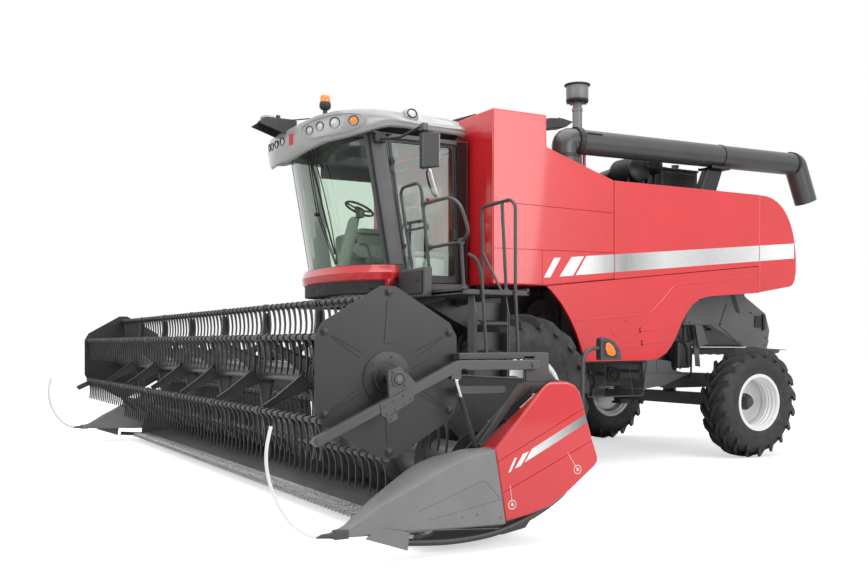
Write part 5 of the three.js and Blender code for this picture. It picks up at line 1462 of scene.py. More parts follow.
def roof_lamps():
    for i, (x, z, radius, lens) in enumerate(((0.623, 3.715, 0.05, clear_lens),
            (0.744, 3.743, 0.052, clear_lens), (0.886, 3.765, 0.062, clear_lens),
            (1.017, 3.78, 0.055, amber_lens))):
        at, way = roof_place(x, z, -0.006)
        for side, hand in SIDES:
            lamp(f"roof_lamp_{hand}_{i + 1}", (side * at.x, at.y, at.z),
                    (side * way.x, way.y, way.z - 0.12), radius, lens, "chassis")
    for side, hand in SIDES:
        for i, (x, z) in enumerate(((0.07, 3.645), (0.2, 3.655))):
            at, way = roof_place(x, z, -0.004)
            lamp(f"brow_lamp_{hand}_{i + 1}", (-side * at.x, at.y, at.z), (-side * way.x, way.y, -0.1),
                    0.045, clear_lens, "chassis")
        boss = turned(f"side_lamp_boss_{hand}", "z", [(-0.09, 0.0), (-0.09, 0.105), (-0.03, 0.088),
                (-0.006, 0.074), (0.0, 0.06), (0.0, 0.0)], steps=28)
        place, way = (side * 1.045, -1.126, 3.925), (side, -0.12, 0.35)
        seat(facing(boss, place, way), "chassis", "roof_grey", roof_shell)
        lamp(f"side_lamp_{hand}", Vector(place) + Vector(way).normalized() * 0.004, way, 0.056, clear_lens,
                "chassis")
        # a raised bead runs round the four lamps
        bead = []
        for x, z in ((0.53, 3.77), (0.65, 3.815), (0.78, 3.842), (0.9, 3.855), (1.0, 3.858), (1.05, 3.845),
                (1.068, 3.79), (1.052, 3.725), (1.0, 3.675), (0.88, 3.64), (0.75, 3.632), (0.64, 3.622),
                (0.555, 3.635), (0.515, 3.7), (0.53, 3.77)):
            at, way = roof_place(x, z, -0.001)
            bead.append((side * at.x, at.y, at.z))
        seat(pipe(f"roof_lamp_bead_{hand}", bead, 0.0035, 0.04, 1), "chassis", "deck_black", trim_plastic)
        sign, way = roof_place(0.36, 3.655, -0.004)
        face = block(f"blank_sign_{hand}", (-0.04, -0.062, -0.002), (0.04, 0.062, 0.005), 0.004)
        seat(facing(face, (side * sign.x, sign.y, sign.z), (side * way.x, way.y, way.z)), "chassis",
                "painted_red", dark_red)
    # beacon on its stalk, and the receiver dome on its bracket at the front edge
    beacon = turned("beacon_lens", "z", [(4.2, 0.0), (4.2, 0.056), (4.215, 0.06), (4.262, 0.055),
            (4.278, 0.047), (4.286, 0.028), (4.288, 0.0)], (0, -1.7, 0), 28)
    seat(beacon, "chassis", "bright_steel", amber_lens)
    base = turned("beacon_base", "z", [(3.95, 0.0), (3.95, 0.055), (3.985, 0.05), (4.0, 0.028),
            (4.11, 0.026), (4.12, 0.05), (4.14, 0.065), (4.18, 0.067), (4.201, 0.06), (4.201, 0.0)],
            (0, -1.7, 0), 28)
    seat(base, "chassis", "deck_black", black_plastic)
    cable = pipe("beacon_lead", [(0.0, -1.72, 3.96), (0.05, -1.9, 3.985), (0.12, -2.12, 3.93),
            (0.18, -2.28, 3.9)], 0.007, 0.05, 2)
    seat(cable, "chassis", "deck_black", seal_rubber)
    cheeks = [plate("receiver_cheek", "x", [(-2.58, 3.83), (-2.49, 3.892), (-2.14, 3.891), (-2.15, 3.78),
            (-2.22, 3.735), (-2.3, 3.739)], x, x + 0.02, 0.005) for x in (-0.02, 0.24)]
    shelf = block("receiver_shelf", (-0.02, -2.5, 3.884), (0.26, -2.15, 3.9), 0.004)
    knob = turned("receiver_knob", "z", [(3.9, 0.0), (3.9, 0.026), (3.93, 0.026), (3.942, 0.018),
            (3.942, 0.0)], (0.2, -2.34, 0), 16)
    dome = turned("receiver_dome", "z", [(3.9, 0.0), (3.9, 0.07), (3.915, 0.085), (3.935, 0.078),
            (3.95, 0.05), (3.954, 0.0)], (0.09, -2.42, 0), 28)
    seat(dome, "chassis", "roof_grey", roof_shell)
    seat(joined("receiver_mount", cheeks, shelf, knob), "chassis", "deck_black", black_plastic)


def cab_body():
    shell = reshaded(softened(on_axle(from_cad("cab_shell", "cab_pillars")), 0.012, 2, 40))
    seat(shell, "chassis", "frame_charcoal", cab_paint, "cab_shell")
    # seals along both edges of each front pillar
    for side, hand in SIDES:
        for i, (x, y, width) in enumerate(((1.0, -1.385, 0.012), (1.036, -1.215, 0.008))):
            points = [(side * x, y - CAB_LEAN * (z - CAB_SILL) / 1.4, z)
                    for z in (CAB_SILL + 0.01, CAB_TOP)]
            seat(pipe(f"pillar_seal_{hand}_{i + 1}", points, width, 0, 2), "chassis", "deck_black",
                    seal_rubber)
        face = lofted(f"pillar_cover_{hand}",
                [[(side * x, y - CAB_LEAN * (z - CAB_SILL) / 1.4, z) for x,
                y in ((1.0, -1.375), (1.036, -1.3), (1.046, -1.22), (1.03, -1.21), (1.0, -1.3))]
                for z in (CAB_SILL + 0.005, 2.9, CAB_TOP - 0.005)])
        seat(face, "chassis", "frame_charcoal", pillar_grey)
    skirt()
    wipers()


def skirt():
    """The red apron under the windscreen: a creased band round the nose."""
    rings = []
    for out, z in ((-0.004, 2.115), (0.012, 2.118), (0.022, 2.13), (0.036, 2.205), (0.03, 2.215),
            (0.014, 2.27), (0.008, 2.284), (-0.004, 2.286)):
        rings.append([(x, y, z) for x, y in cab_plan(-out, 14)])
    band = lofted("nose_skirt", rings, closed=False, capped=False, angle=math.radians(24))
    pick(band)
    wall = band.modifiers.new("wall", "SOLIDIFY")
    wall.thickness = 0.004
    wall.offset = -1
    bpy.ops.object.modifier_apply(modifier=wall.name)
    seat(band, "chassis", "painted_red", red_enamel, "cab_skirt")
    for side, hand in SIDES:
        end = block(f"skirt_end_{hand}", (side * 1.0 - 0.045, -1.3, 2.12),
                (side * 1.0 + 0.045, -1.262, 2.28), 0.008)
        seat(end, "chassis", "frame_charcoal", cab_paint)
    under = lofted("nose_under", [[(x, y, z) for x, y in cab_plan(inset, 10)] for inset,
            z in ((0.02, 2.118), (-0.003, 2.112), (-0.003, 1.984), (0.12, 1.982))], False, False)
    seat(face_outwards(under), "chassis", "deck_black", seal_rubber)


def windscreen(x, z, out=0.02):
    """A point just outside the windscreen."""
    right = [(px, py) for px, py in cab_plan(0, 24) if px >= 0]
    y = follow(sorted(right), abs(x))
    return Vector((x, y - lean(y, z) - out, z))


def wipers():
    for i, shift in enumerate((0, 0.045)):
        arm = pipe(f"wiper_arm_{i + 1}",
                [windscreen(0.25 + shift, 3.64), windscreen(0.26 + shift, 3.2, 0.03),
                windscreen(0.27 + shift, 2.88, 0.03), windscreen(0.46 + shift / 2, 2.31)], 0.0065, 0.1, 2)
        seat(arm, "chassis", "deck_black", seal_rubber)
    brace = pipe("wiper_link", [windscreen(0.37, 3.58), windscreen(0.46, 3.13), windscreen(0.5, 2.74),
            windscreen(0.5, 2.31)], 0.006, 0.1, 2)
    blade = pipe("wiper_blade", [windscreen(0.3, 3.42, 0.012), windscreen(0.36, 3.1, 0.012),
            windscreen(0.4, 2.8, 0.012), windscreen(0.47, 2.42, 0.012)], 0.011, 0.1, 1)
    joint = turned("wiper_joint", "y", [(-0.03, 0.0), (-0.03, 0.022), (0.02, 0.022), (0.02, 0.0)],
            windscreen(0.28, 2.87, 0.03), 14)
    seat(joined("wiper_blade", brace, blade, joint), "chassis", "deck_black", seal_rubber)


def leaned(piece):
    """Lets a piece made upright follow the cab's forward lean above the sill."""
    def work():
        bpy.ops.mesh.bisect(plane_co=(0, 0, CAB_SILL), plane_no=(0, 0, 1))
    edit(piece, work)
    for vertex in piece.data.vertices:
        vertex.co.y -= lean(vertex.co.y, vertex.co.z)
    return piece


def door():
    """Nearly all glass: a slim black frame, a rubber at its edges, a handle plate and a grab handle."""
    front, rear, low, high = -1.2, -0.53, 2.1, 3.63
    frame_piece = plate("cab_door_frame", "x", [(front, low), (rear, low), (rear, high), (front, high)],
            0.99, 1.026)
    hole = plate("door_opening", "x", [(front + 0.03, low + 0.085), (rear - 0.045, low + 0.085),
            (rear - 0.045, high - 0.03), (front + 0.03, high - 0.03)], 0.9, 1.1, 0.03, 4)
    frame_piece = reshaded(softened(leaned(cut_out(frame_piece, hole)), 0.006, 2, 40))
    seat(frame_piece, "cab_door", "frame_charcoal", deck_paint, "cab_door")
    pane = plate("cab_door_pane", "x", [(front + 0.02, low + 0.075), (rear - 0.035, low + 0.075),
            (rear - 0.035, high - 0.02), (front + 0.02, high - 0.02)], 1.005, 1.011)
    seat(leaned(pane), "cab_door", "cab_glass", cab_glass, "door_glass")
    loop = [cab_point(1.03, y, z) for y, z in ((rear - 0.02, low + 0.02), (rear - 0.02, CAB_SILL),
            (rear - 0.02, high - 0.02))]
    seal = pipe("door_seal", loop, 0.014, 0, 2)
    top_seal = pipe("door_seal_top", [cab_point(1.028, rear, high), cab_point(1.028, front, high)], 0.009,
            0, 2)
    handle_plate = block("door_handle_plate", (1.024, -0.92, 3.0), (1.04, -0.77, 3.03), 0.006)
    grab = pipe("door_grab", [(1.02, -0.79, 3.06), (1.06, -0.82, 3.08), (1.066, -0.87, 3.2),
            (1.06, -0.9, 3.32), (1.02, -0.9, 3.35)], 0.011, 0.04, 2)
    latch = block("door_latch", (1.018, -0.62, 2.58), (1.05, -0.555, 2.7), 0.01)
    lever = rod("door_lever", (1.052, -0.6, 2.68), (1.052, -0.6, 2.58), 0.012, 14, 0.004)
    hinges = []
    for z in (2.45, 3.35):
        y = -1.2 - GUARD_LEAN * (z - CAB_SILL)
        hinges.append(rod("door_hinge", (1.046, y - 0.0004, z + 0.001), (1.046, y - 0.011, z + 0.07),
                0.015, 16, 0.003))
        hinges.append(block("door_hinge_leaf", (1.02, y - 0.004, z + 0.012), (1.046, y + 0.034, z + 0.06),
                0.003))
    seat(joined("door_rubber", seal, top_seal), "cab_door", "deck_black", seal_rubber)
    seat(handle_plate, "cab_door", "painted_red", dark_red)
    seat(grab, "cab_door", "bright_steel", pale_steel)
    seat(joined("door_latch", latch, lever, hinges), "cab_door", "deck_black", black_plastic)
    # the dark quarter pane behind the door, and a lamp bracket at the head of the pillar
    quarter = plate("quarter_pane", "x", [(-0.528, 2.1), (-0.428, 2.1), (-0.428, 3.68), (-0.528, 3.68)],
            1.028, 1.034, 0.002)
    seat(leaned(quarter), "chassis", "deck_black", dark_glass)
    bracket = [block("lamp_bracket", (1.03, -1.62, 3.655), (1.12, -1.4, 3.672), 0.004),
            block("lamp_bracket", (1.03, -1.58, 3.58), (1.045, -1.5, 3.67), 0.004),
            block("step_lamp", (1.05, -1.6, 3.56), (1.13, -1.48, 3.655), 0.012)]
    seat(joined("lamp_bracket", bracket), "chassis", "deck_black", black_plastic)


def mirrors():
    for side, hand in SIDES:
        head = plate(f"mirror_head_{hand}", "z", [(1.57, -1.3), (1.57, -1.27), (1.8, -1.2), (1.805, -1.22),
                (1.7, -1.345), (1.64, -1.355)], 3.225, 3.575, 0.014, 3)
        dish = plate(f"mirror_face_{hand}", "z", [(1.585, -1.2625), (1.585, -1.2585), (1.785, -1.196),
                (1.785, -1.2)], 3.24, 3.56)
        slot = block(f"mirror_rib_{hand}", (1.663, -1.36, 3.22), (1.676, -1.345, 3.58), 0.003)
        knuckle = block(f"mirror_clamp_{hand}", (1.645, -1.35, 3.6), (1.705, -1.28, 3.68), 0.012)
        foot = block(f"mirror_foot_{hand}", (1.03, -1.6, 3.6), (1.075, -1.52, 3.69), 0.01)
        arm = pipe(f"mirror_arm_{hand}", [(1.055, -1.56, 3.685), (1.06, -1.56, 3.6), (1.388, -1.44, 3.575),
                (1.675, -1.315, 3.665), (1.675, -1.315, 3.56)], 0.014, 0.06, 3)
        pieces = [(joined(f"mirror_head_{hand}", head, knuckle), "grey_plastic", mirror_grey),
                (joined(f"mirror_arm_{hand}", arm, foot, slot), "deck_black", black_plastic),
                (dish, "bright_steel", polished_steel)]
        for piece, slot_name, coating in pieces:
            if side < 0:
                piece = mirrored(piece)
            nodes = (f"mirror_{hand}",) if slot_name == "grey_plastic" else ()
            seat(piece, "chassis", slot_name, coating, *nodes)


def mirrored(piece):
    piece.data.transform(Matrix.Scale(-1, 4, (1, 0, 0)))
    edit(piece, lambda: bpy.ops.mesh.flip_normals())
    return piece


def operator_place():
    """Seat, arm rest console, steering column and the screens under the roof."""
    z = CAB_FLOOR + 0.04
    mat = block("cab_floor_mat", (-0.9, -1.55, z), (0.9, -0.5, z + 0.012), 0.004)
    pedestal = plate("seat_pedestal", "x", [(-1.0, z), (-0.66, z), (-0.7, z + 0.16), (-0.66, z + 0.32),
            (-1.0, z + 0.32), (-0.95, z + 0.16)], -0.2, 0.2, 0.02)
    console = plate("arm_console", "x", [(-1.2, z + 0.52), (-1.12, z + 0.63), (-0.7, z + 0.6),
            (-0.62, z + 0.5), (-0.7, z + 0.42), (-1.1, z + 0.44)], -0.5, -0.33, 0.025)
    lever = pipe("drive_lever", [(-0.42, -1.1, z + 0.58), (-0.42, -1.14, z + 0.72),
            (-0.4, -1.15, z + 0.76)], 0.016, 0.04)
    knob = turned("drive_lever_knob", "z", [(-0.04, 0.0), (-0.04, 0.02), (-0.01, 0.032), (0.03, 0.03),
            (0.045, 0.015), (0.047, 0.0)], (-0.4, -1.15, z + 0.79), 18)
    column = lofted("steering_column",
            [[(math.cos(a) * r, y + math.sin(a) * r * 0.9, h)
            for a in [math.tau * k / 14 for k in range(14)]] for y, h,
            r in ((-1.54, z, 0.13), (-1.53, z + 0.1, 0.105), (-1.47, z + 0.32, 0.085),
            (-1.4, z + 0.6, 0.08), (-1.34, z + 0.84, 0.07), (-1.32, z + 0.88, 0.05))])
    wheel = turned("steering_wheel", "z",
            [(math.sin(math.tau * k / 10) * 0.014, 0.17 + math.cos(math.tau * k / 10) * 0.013)
            for k in range(11)], steps=36)
    face_outwards(wheel)
    hub = turned("steering_hub", "z", [(-0.05, 0.0), (-0.05, 0.035), (-0.01, 0.06), (0.008, 0.05),
            (0.01, 0.0)], steps=20)
    arms = [spun(block("steering_spoke", (0.03, -0.014, -0.022), (0.168, 0.014, -0.006), 0.005), "Z", turn)
            for turn in (90, 210, 330)]
    wheel = facing(joined("steering_wheel", wheel, hub, arms), (0, -1.27, z + 0.98), (0, 0.42, 0.9))
    dash = block("dash_pod", (0.02, -1.33, z + 0.86), (0.16, -1.27, z + 0.96), 0.014)
    fridge = block("side_console", (-0.94, -1.18, z), (-0.56, -0.5, z + 0.76), 0.05, 4)
    lid = block("side_console_lid", (-0.95, -1.0, z + 0.765), (-0.55, -0.5, z + 0.83), 0.02, 3)
    post = lofted("far_pillar_trim",
            [[cab_point(x, y, h) for x, y in ((-0.985, -1.5), (-0.93, -1.44), (-0.95, -1.2),
            (-0.985, -1.18))] for h in (CAB_SILL, 2.8, 3.3, CAB_TOP - 0.01)])
    blind = block("far_sun_blind", (-0.98, -1.35, 3.5), (-0.94, -0.5, 3.67), 0.01)
    inner_rail = pipe("inner_grab", [(0.75, -1.42, z + 0.02), (0.75, -1.5, z + 0.42),
            (0.7, -1.52, z + 0.5), (0.6, -1.53, z + 0.5)], 0.016, 0.08)
    seat(joined("far_side_trim", fridge, lid, post), "chassis", "grey_plastic", trim_plastic)
    seat(joined("sun_blind", blind), "chassis", "deck_black", locker_dark)
    seat(inner_rail, "chassis", "frame_charcoal", rail_paint)
    screen = block("roof_screen", (0.6, -1.34, 3.5), (0.72, -1.12, 3.67), 0.02)
    screen2 = block("roof_radio", (-0.2, -1.5, 3.55), (0.3, -1.2, 3.68), 0.02)
    for piece, slot_name, coating in ((mat, "deck_black", seal_rubber),
            (pedestal, "grey_plastic", trim_plastic), (console, "grey_plastic", trim_plastic),
            (joined("drive_lever", lever, knob), "deck_black", black_plastic),
            (column, "grey_plastic", trim_plastic), (joined("steering_wheel", wheel, dash), "deck_black",
            black_plastic), (joined("roof_screens", screen, screen2), "deck_black", black_plastic)):
        nodes = ("operator_station",) if piece is mat else ()
        seat(piece, "chassis", slot_name, coating, *nodes)
    cushion("seat_cushion", (-0.26, -1.09, z + 0.32), (0.26, -0.61, z + 0.46), "z")
    cushion("seat_backrest", (-0.25, -0.7, z + 0.46), (0.25, -0.57, z + 1.02), "y")
    cushion("seat_headrest", (-0.14, -0.68, z + 1.04), (0.14, -0.6, z + 1.2), "y")
    cushion("helper_cushion", (0.5, -1.0, z + 0.36), (0.84, -0.6, z + 0.44), "z")
    box_piece = block("helper_seat_box", (0.5, -0.98, z), (0.84, -0.6, z + 0.36), 0.02)
    seat(box_piece, "chassis", "grey_plastic", trim_plastic)


def cushion(name, low, high, thin):
    """A crowned, puffed pad whose sides pull in between its corners, with two channels pressed in along its
    face.
    """
    low, high = Vector(low), Vector(high)
    middle, half = (low + high) / 2, (high - low) / 2
    bpy.ops.object.select_all(action="DESELECT")
    bpy.ops.mesh.primitive_cube_add(size=2)
    pad = fresh(name)

    def work():
        bpy.ops.mesh.subdivide(number_cuts=9)
    edit(pad, work)
    order = {"z": (0, 1, 2), "y": (0, 2, 1)}[thin]
    for vertex in pad.data.vertices:
        u, v, w = (vertex.co[k] for k in order)
        round_ = (1 - min(1, abs(u)) ** 4) * (1 - min(1, abs(v)) ** 4)
        puff = 0.42 + 0.58 * round_ ** 0.45
        channel = 0.07 * math.exp(-((abs(u) - 0.55) / 0.06) ** 2) if abs(w) > 0.9 else 0
        pull_u, pull_v = 1 - 0.035 * (1 - v * v) * abs(u) ** 3, 1 - 0.035 * (1 - u * u) * abs(v) ** 3
        new = [0.0, 0.0, 0.0]
        new[order[0]], new[order[1]] = u * pull_u * half[order[0]], v * pull_v * half[order[1]]
        new[order[2]] = w * (puff - channel) * half[order[2]]
        vertex.co = middle + Vector(new)
    pick(pad)
    smooth = pad.modifiers.new("soft", "SUBSURF")
    smooth.levels = smooth.render_levels = 1
    bpy.ops.object.modifier_apply(modifier=smooth.name)
    smoothed(pad, math.radians(60))
    seat(pad, "chassis", "seat_fabric", seat_cloth)


cab_roof()
roof_lamps()
cab_body()
door()
mirrors()
operator_place()


# ---------------------------------------------------------------- platform, rails and ladder
DECK_IN, DECK_OUT, DECK_FRONT, DECK_REAR, DECK_TOP, DECK_LOW = 1.08, 2.25, -1.2, -0.42, 1.97, 1.92
LOCKER_OUT, LOCKER_FRONT, LOCKER_TOP = 1.64, -1.33, 2.225
TUBE, GUARD_SLOPE = 0.017, 0.15625
RAIL_X = DECK_OUT + 0.015


def guard(x, z):
    """A point in the leaning plane of the front guard rail."""
    return (x, DECK_FRONT + 0.02 - max(0, z - LOCKER_TOP) * GUARD_SLOPE, z)


def rails():
    loop = pipe("guard_loop", [guard(1.16, 1.94), guard(1.16, 2.24), guard(1.13, 3.04), guard(1.2, 3.09),
            guard(1.53, 3.09), guard(1.59, 3.03), guard(1.59, 1.94)], TUBE, 0.07)
    rung = pipe("guard_rung", [guard(1.145, 2.64), guard(1.59, 2.64)], 0.012, 0)
    wing = pipe("guard_wing", [guard(1.59, 2.87), guard(2.14, 2.87), guard(2.32, 2.78), guard(2.41, 2.5),
            guard(2.25, 2.425), guard(1.59, 2.425)], TUBE, 0.11)
    post = pipe("guard_post", [guard(2.24, 2.44), guard(2.24, 1.93)], TUBE, 0)
    hand = pipe("hand_rail_front", [(RAIL_X, -1.15, 2.31), (RAIL_X, -1.06, 2.27), (RAIL_X, -0.995, 2.13),
            (RAIL_X, -0.985, 1.96), (RAIL_X, -0.93, 1.2)], TUBE, 0.1)
    far = pipe("hand_rail_rear", [(1.64, -0.6, 1.94), (1.65, -0.6, 2.42), (1.635, -0.6, 2.875),
            (2.19, -0.6, 2.89), (RAIL_X, -0.6, 2.82), (RAIL_X, -0.6, 1.97), (RAIL_X, -0.56, 1.2)], TUBE,
            0.07)
    strut = pipe("rail_strut", [(2.02, -0.6, 2.88), (2.1, -0.6, 1.94)], TUBE, 0)
    brace = pipe("rail_brace", [(1.65, -0.6, 2.4), (2.04, -0.6, 1.94)], 0.014, 0)
    clamps = []
    for x, z in ((2.24, 2.432), (1.59, 2.87), (1.59, 2.425), (1.59, 2.64)):
        clamps.append(block("rail_clamp", Vector(guard(x, z)) - Vector((0.026, 0.024, 0.03)),
                Vector(guard(x, z)) + Vector((0.026, 0.024, 0.03)), 0.008))
    for x, y in ((1.16, DECK_FRONT + 0.02), (1.59, DECK_FRONT + 0.02), (2.24, DECK_FRONT + 0.02),
            (1.64, -0.6), (2.1, -0.6)):
        clamps.append(turned("rail_foot", "z",
                [(DECK_TOP, 0.0), (DECK_TOP, 0.042), (DECK_TOP + 0.008, 0.042), (DECK_TOP + 0.014, 0.026),
                (DECK_TOP + 0.03, 0.02), (DECK_TOP + 0.03, 0.0)], (x, y, 0), 18))
    seat(joined("platform_rails", loop, rung, wing, post, hand, far, strut, brace, clamps), "chassis",
            "frame_charcoal", rail_paint)


def deck():
    """A folded tray with an upturned rim and raised grip pips on its tread."""
    fascia = plate("deck_fascia", "x", [(DECK_FRONT, DECK_LOW), (DECK_REAR, DECK_LOW),
            (DECK_REAR, DECK_TOP), (DECK_FRONT, DECK_TOP)], DECK_OUT - 0.03, DECK_OUT, 0.008)
    tray = block("deck_tray", (DECK_IN, DECK_FRONT, DECK_LOW + 0.012),
            (DECK_OUT - 0.02, DECK_REAR, DECK_TOP - 0.006), 0.006)
    rims = [block("deck_rim", (DECK_IN, DECK_FRONT, DECK_LOW),
            (DECK_OUT, DECK_FRONT + 0.03, DECK_TOP + 0.02), 0.006),
            block("deck_rim", (DECK_IN, DECK_REAR - 0.03, DECK_LOW),
            (DECK_OUT, DECK_REAR, DECK_TOP + 0.02), 0.006)]
    pip = turned("grip_pip", "z", [(DECK_TOP - 0.008, 0.0), (DECK_TOP - 0.008, 0.011),
            (DECK_TOP - 0.001, 0.006), (DECK_TOP - 0.001, 0.0)], (DECK_IN + 0.08, DECK_FRONT + 0.09, 0), 6)
    pips = row(row(pip, 20, (0.055, 0, 0)), 12, (0, 0.055, 0))
    seat(joined("platform_deck", tray, fascia, rims), "chassis", "frame_charcoal", frame_paint, "platform")
    seat(pips, "chassis", "frame_charcoal", frame_paint)
    brackets = []
    for y in (-1.1, -0.62):
        brackets.append(plate("deck_bracket", "y", [(1.12, 1.92), (1.7, 1.92), (1.7, 1.89), (1.12, 1.84)],
                y, y + 0.02, 0.004))
    toe = block("toe_board", (1.1, -1.2, 1.96), (1.115, -0.45, 2.09), 0.005)
    seat(joined("deck_brackets", brackets, toe), "chassis", "frame_charcoal", rail_paint)


def locker():
    """The step box beside the nose: a pressed shell with a darker door on its front."""
    side = plate("locker_side", "x", [(LOCKER_FRONT + 0.03, DECK_LOW), (DECK_FRONT, DECK_LOW),
            (DECK_FRONT, LOCKER_TOP), (LOCKER_FRONT + 0.05, LOCKER_TOP),
            (LOCKER_FRONT + 0.03, LOCKER_TOP - 0.02)], DECK_IN + 0.005, LOCKER_OUT, 0.014, 3)
    face = block("locker_door", (DECK_IN + 0.03, LOCKER_FRONT + 0.005, DECK_LOW + 0.03),
            (LOCKER_OUT - 0.03, LOCKER_FRONT + 0.031, LOCKER_TOP - 0.03), 0.01)
    grip = block("locker_grip", (1.5, LOCKER_FRONT - 0.004, 2.08), (1.56, LOCKER_FRONT + 0.01, 2.11), 0.006)
    seat(side, "chassis", "frame_charcoal", cab_paint)
    seat(joined("locker_door", face, grip), "chassis", "deck_black", locker_dark)
    # round joint in front of the locker
    joint = turned("nose_joint", "y", [(-0.03, 0.0), (-0.03, 0.04), (-0.02, 0.05), (0.02, 0.05),
            (0.05, 0.03), (0.05, 0.0)], (1.04, -1.4, 2.09), 20)
    seat(joint, "chassis", "painted_red", dark_red)


def ladder():
    """Five tubular treads with closed risers, between two folded stringers."""
    x1, front, rear, bottom, top = DECK_OUT - 0.01, -1.06, -0.65, 0.42, 1.919
    x0 = x1 - 0.15
    rise = (top - bottom) / 5
    pieces = []
    for y, name in ((front, "front"), (rear - 0.03, "rear")):
        web = plate(f"stringer_{name}", "y",
                [(x0, bottom + 0.02), (x0 + 0.03, bottom), (x1 - 0.02, bottom), (x1, bottom + 0.03),
                (x1, top - 0.16), (x1 - 0.04, top), (x0 + 0.02, top), (x0, top - 0.1)], y + 0.008,
                y + 0.022, 0.003)
        lip = block(f"stringer_lip_{name}", (x1 - 0.006, y, bottom + 0.04), (x1, y + 0.03, top - 0.17),
                0.003)
        pieces += [web, lip]
    treads = []
    for i in range(5):
        z = bottom + i * rise
        tread = plate("tread", "y", [(x0 + 0.01, z), (x1 - 0.01, z), (x1, z + 0.012), (x1, z + 0.03),
                (x1 - 0.012, z + 0.036), (x0 + 0.01, z + 0.036)], front + 0.02, rear - 0.02, 0.005)
        tooth = block("tread_tooth", (x0 + 0.03, front + 0.045, z + 0.034),
                (x1 - 0.03, front + 0.053, z + 0.041), 0)
        riser = plate("riser", "x", [(front + 0.02, z + 0.05), (rear - 0.02, z + 0.05),
                (rear - 0.02, z + rise * 0.72), (rear - 0.05, z + rise * 0.78),
                (front + 0.05, z + rise * 0.78), (front + 0.02, z + rise * 0.72)], x0 + 0.002, x0 + 0.012,
                0.003)
        treads += [tread, row(tooth, 12, (0, 0.03, 0)), riser]
    pin = rod("ladder_pin", ((x0 + x1) / 2, front + 0.015, top - 0.06),
            ((x0 + x1) / 2, front + 0.015, 1.92), 0.014, 14)
    seat(joined("ladder_stringers", pieces, pin), "ladder", "frame_charcoal", rail_paint, "ladder")
    seat(joined("ladder_treads", treads), "ladder", "frame_charcoal", frame_paint)


rails()
deck()
locker()
ladder()


# ---------------------------------------------------------------- unloading tube, stack and engine deck
TUBE_X, TUBE_Y, TUBE_Z, TUBE_END_Y, TUBE_END_Z, TUBE_R = 1.24, 0.76, 3.79, 4.56, 3.845, 0.145
SPOUT_Y, SPOUT_Z = 4.8, 3.355


def unloader():
    """A long round tube on a turning elbow, bolted at its flanges, with a bent spout at its end."""
    lie = (TUBE_END_Z - TUBE_Z) / (TUBE_END_Y - TUBE_Y)
    along = lambda y: TUBE_Z + (y - TUBE_Y) * lie
    elbow = pipe("unloader_elbow", [(TUBE_X, TUBE_Y, 3.582), (TUBE_X, TUBE_Y, TUBE_Z),
            (TUBE_X, 0.93, along(0.93))], TUBE_R + 0.002, 0.2, 7)
    tube = pipe("unloader_tube",
            [(TUBE_X, 0.93, along(0.93)), (TUBE_X, TUBE_END_Y - 0.03, along(TUBE_END_Y - 0.03))], TUBE_R,
            0, 9)
    spout = pipe("unloader_spout", [(TUBE_X, TUBE_END_Y - 0.03, along(TUBE_END_Y - 0.03)),
            (TUBE_X, TUBE_END_Y + 0.03, TUBE_END_Z), (TUBE_X, SPOUT_Y, SPOUT_Z)], TUBE_R + 0.001, 0.2, 8)
    mouth = rod("spout_mouth", (TUBE_X, SPOUT_Y + 0.012, SPOUT_Z - 0.028),
            (TUBE_X, SPOUT_Y - 0.08, SPOUT_Z + 0.184), TUBE_R - 0.008, 36)
    spout = smoothed(cut_out(spout, mouth))
    seat(elbow, "unloader", "frame_charcoal", tube_paint, "unloading_tube")
    seat(tube, "unloader", "frame_charcoal", tube_paint)
    seat(spout, "unloader", "frame_charcoal", tube_paint)
    bands = []
    for y, reach, thick in ((0.93, 0.022, 0.035), (3.19, 0.006, 0.008), (TUBE_END_Y - 0.03, 0.012, 0.016)):
        band = turned("tube_flange", "y", [(-thick, TUBE_R - 0.006), (-thick, TUBE_R + reach),
                (thick, TUBE_R + reach), (thick, TUBE_R - 0.006), (-thick, TUBE_R - 0.006)],
                (TUBE_X, y, along(y)), 40)
        bands.append(face_outwards(band))
    for k in range(10):
        turn = math.tau * (k + 0.5) / 10
        x, z = TUBE_X + math.cos(turn) * (TUBE_R + 0.014), along(0.93) + math.sin(turn) * (TUBE_R + 0.014)
        bands.append(rod("flange_bolt", (x, 0.88, z), (x, 0.975, z), 0.009, 6))
    slot_mark = block("tube_slot", (TUBE_X + 0.12, 1.0, 3.875), (TUBE_X + 0.134, 1.22, 3.886), 0.003)
    latch = block("spout_clip", (TUBE_X - 0.02, TUBE_END_Y - 0.09, TUBE_END_Z + 0.135),
            (TUBE_X + 0.02, TUBE_END_Y + 0.02, TUBE_END_Z + 0.16), 0.006)
    collar = turned("elbow_collar", "z", [(3.581, 0.1), (3.581, 0.174), (3.615, 0.174), (3.622, 0.165),
            (3.622, 0.14)], (TUBE_X, TUBE_Y, 0), 36)
    seat(joined("unloader_bands", bands, slot_mark, latch, collar), "unloader", "deck_black", deck_paint)
    turret = reshaded(softened(on_axle(from_cad("auger_turret", "auger_turret_casting")), 0.012, 2, 40))
    seat(turret, "chassis", "frame_charcoal", tube_paint, "auger_turret")
    support = plate("tube_cradle", "x", [(2.8, 3.2), (2.84, 3.39), (2.95, 3.64), (3.21, 3.64),
            (3.11, 3.39), (3.08, 3.2)], TUBE_X - 0.06, TUBE_X + 0.06, 0.02, 3)
    pad = plate("cradle_pad", "y", [(TUBE_X - 0.13, 3.68), (TUBE_X - 0.09, 3.652), (TUBE_X + 0.09, 3.652),
            (TUBE_X + 0.13, 3.68), (TUBE_X + 0.13, 3.64), (TUBE_X - 0.13, 3.64)], 2.96, 3.27, 0.008)
    seat(joined("tube_cradle", support, pad), "chassis", "deck_black", deck_paint)


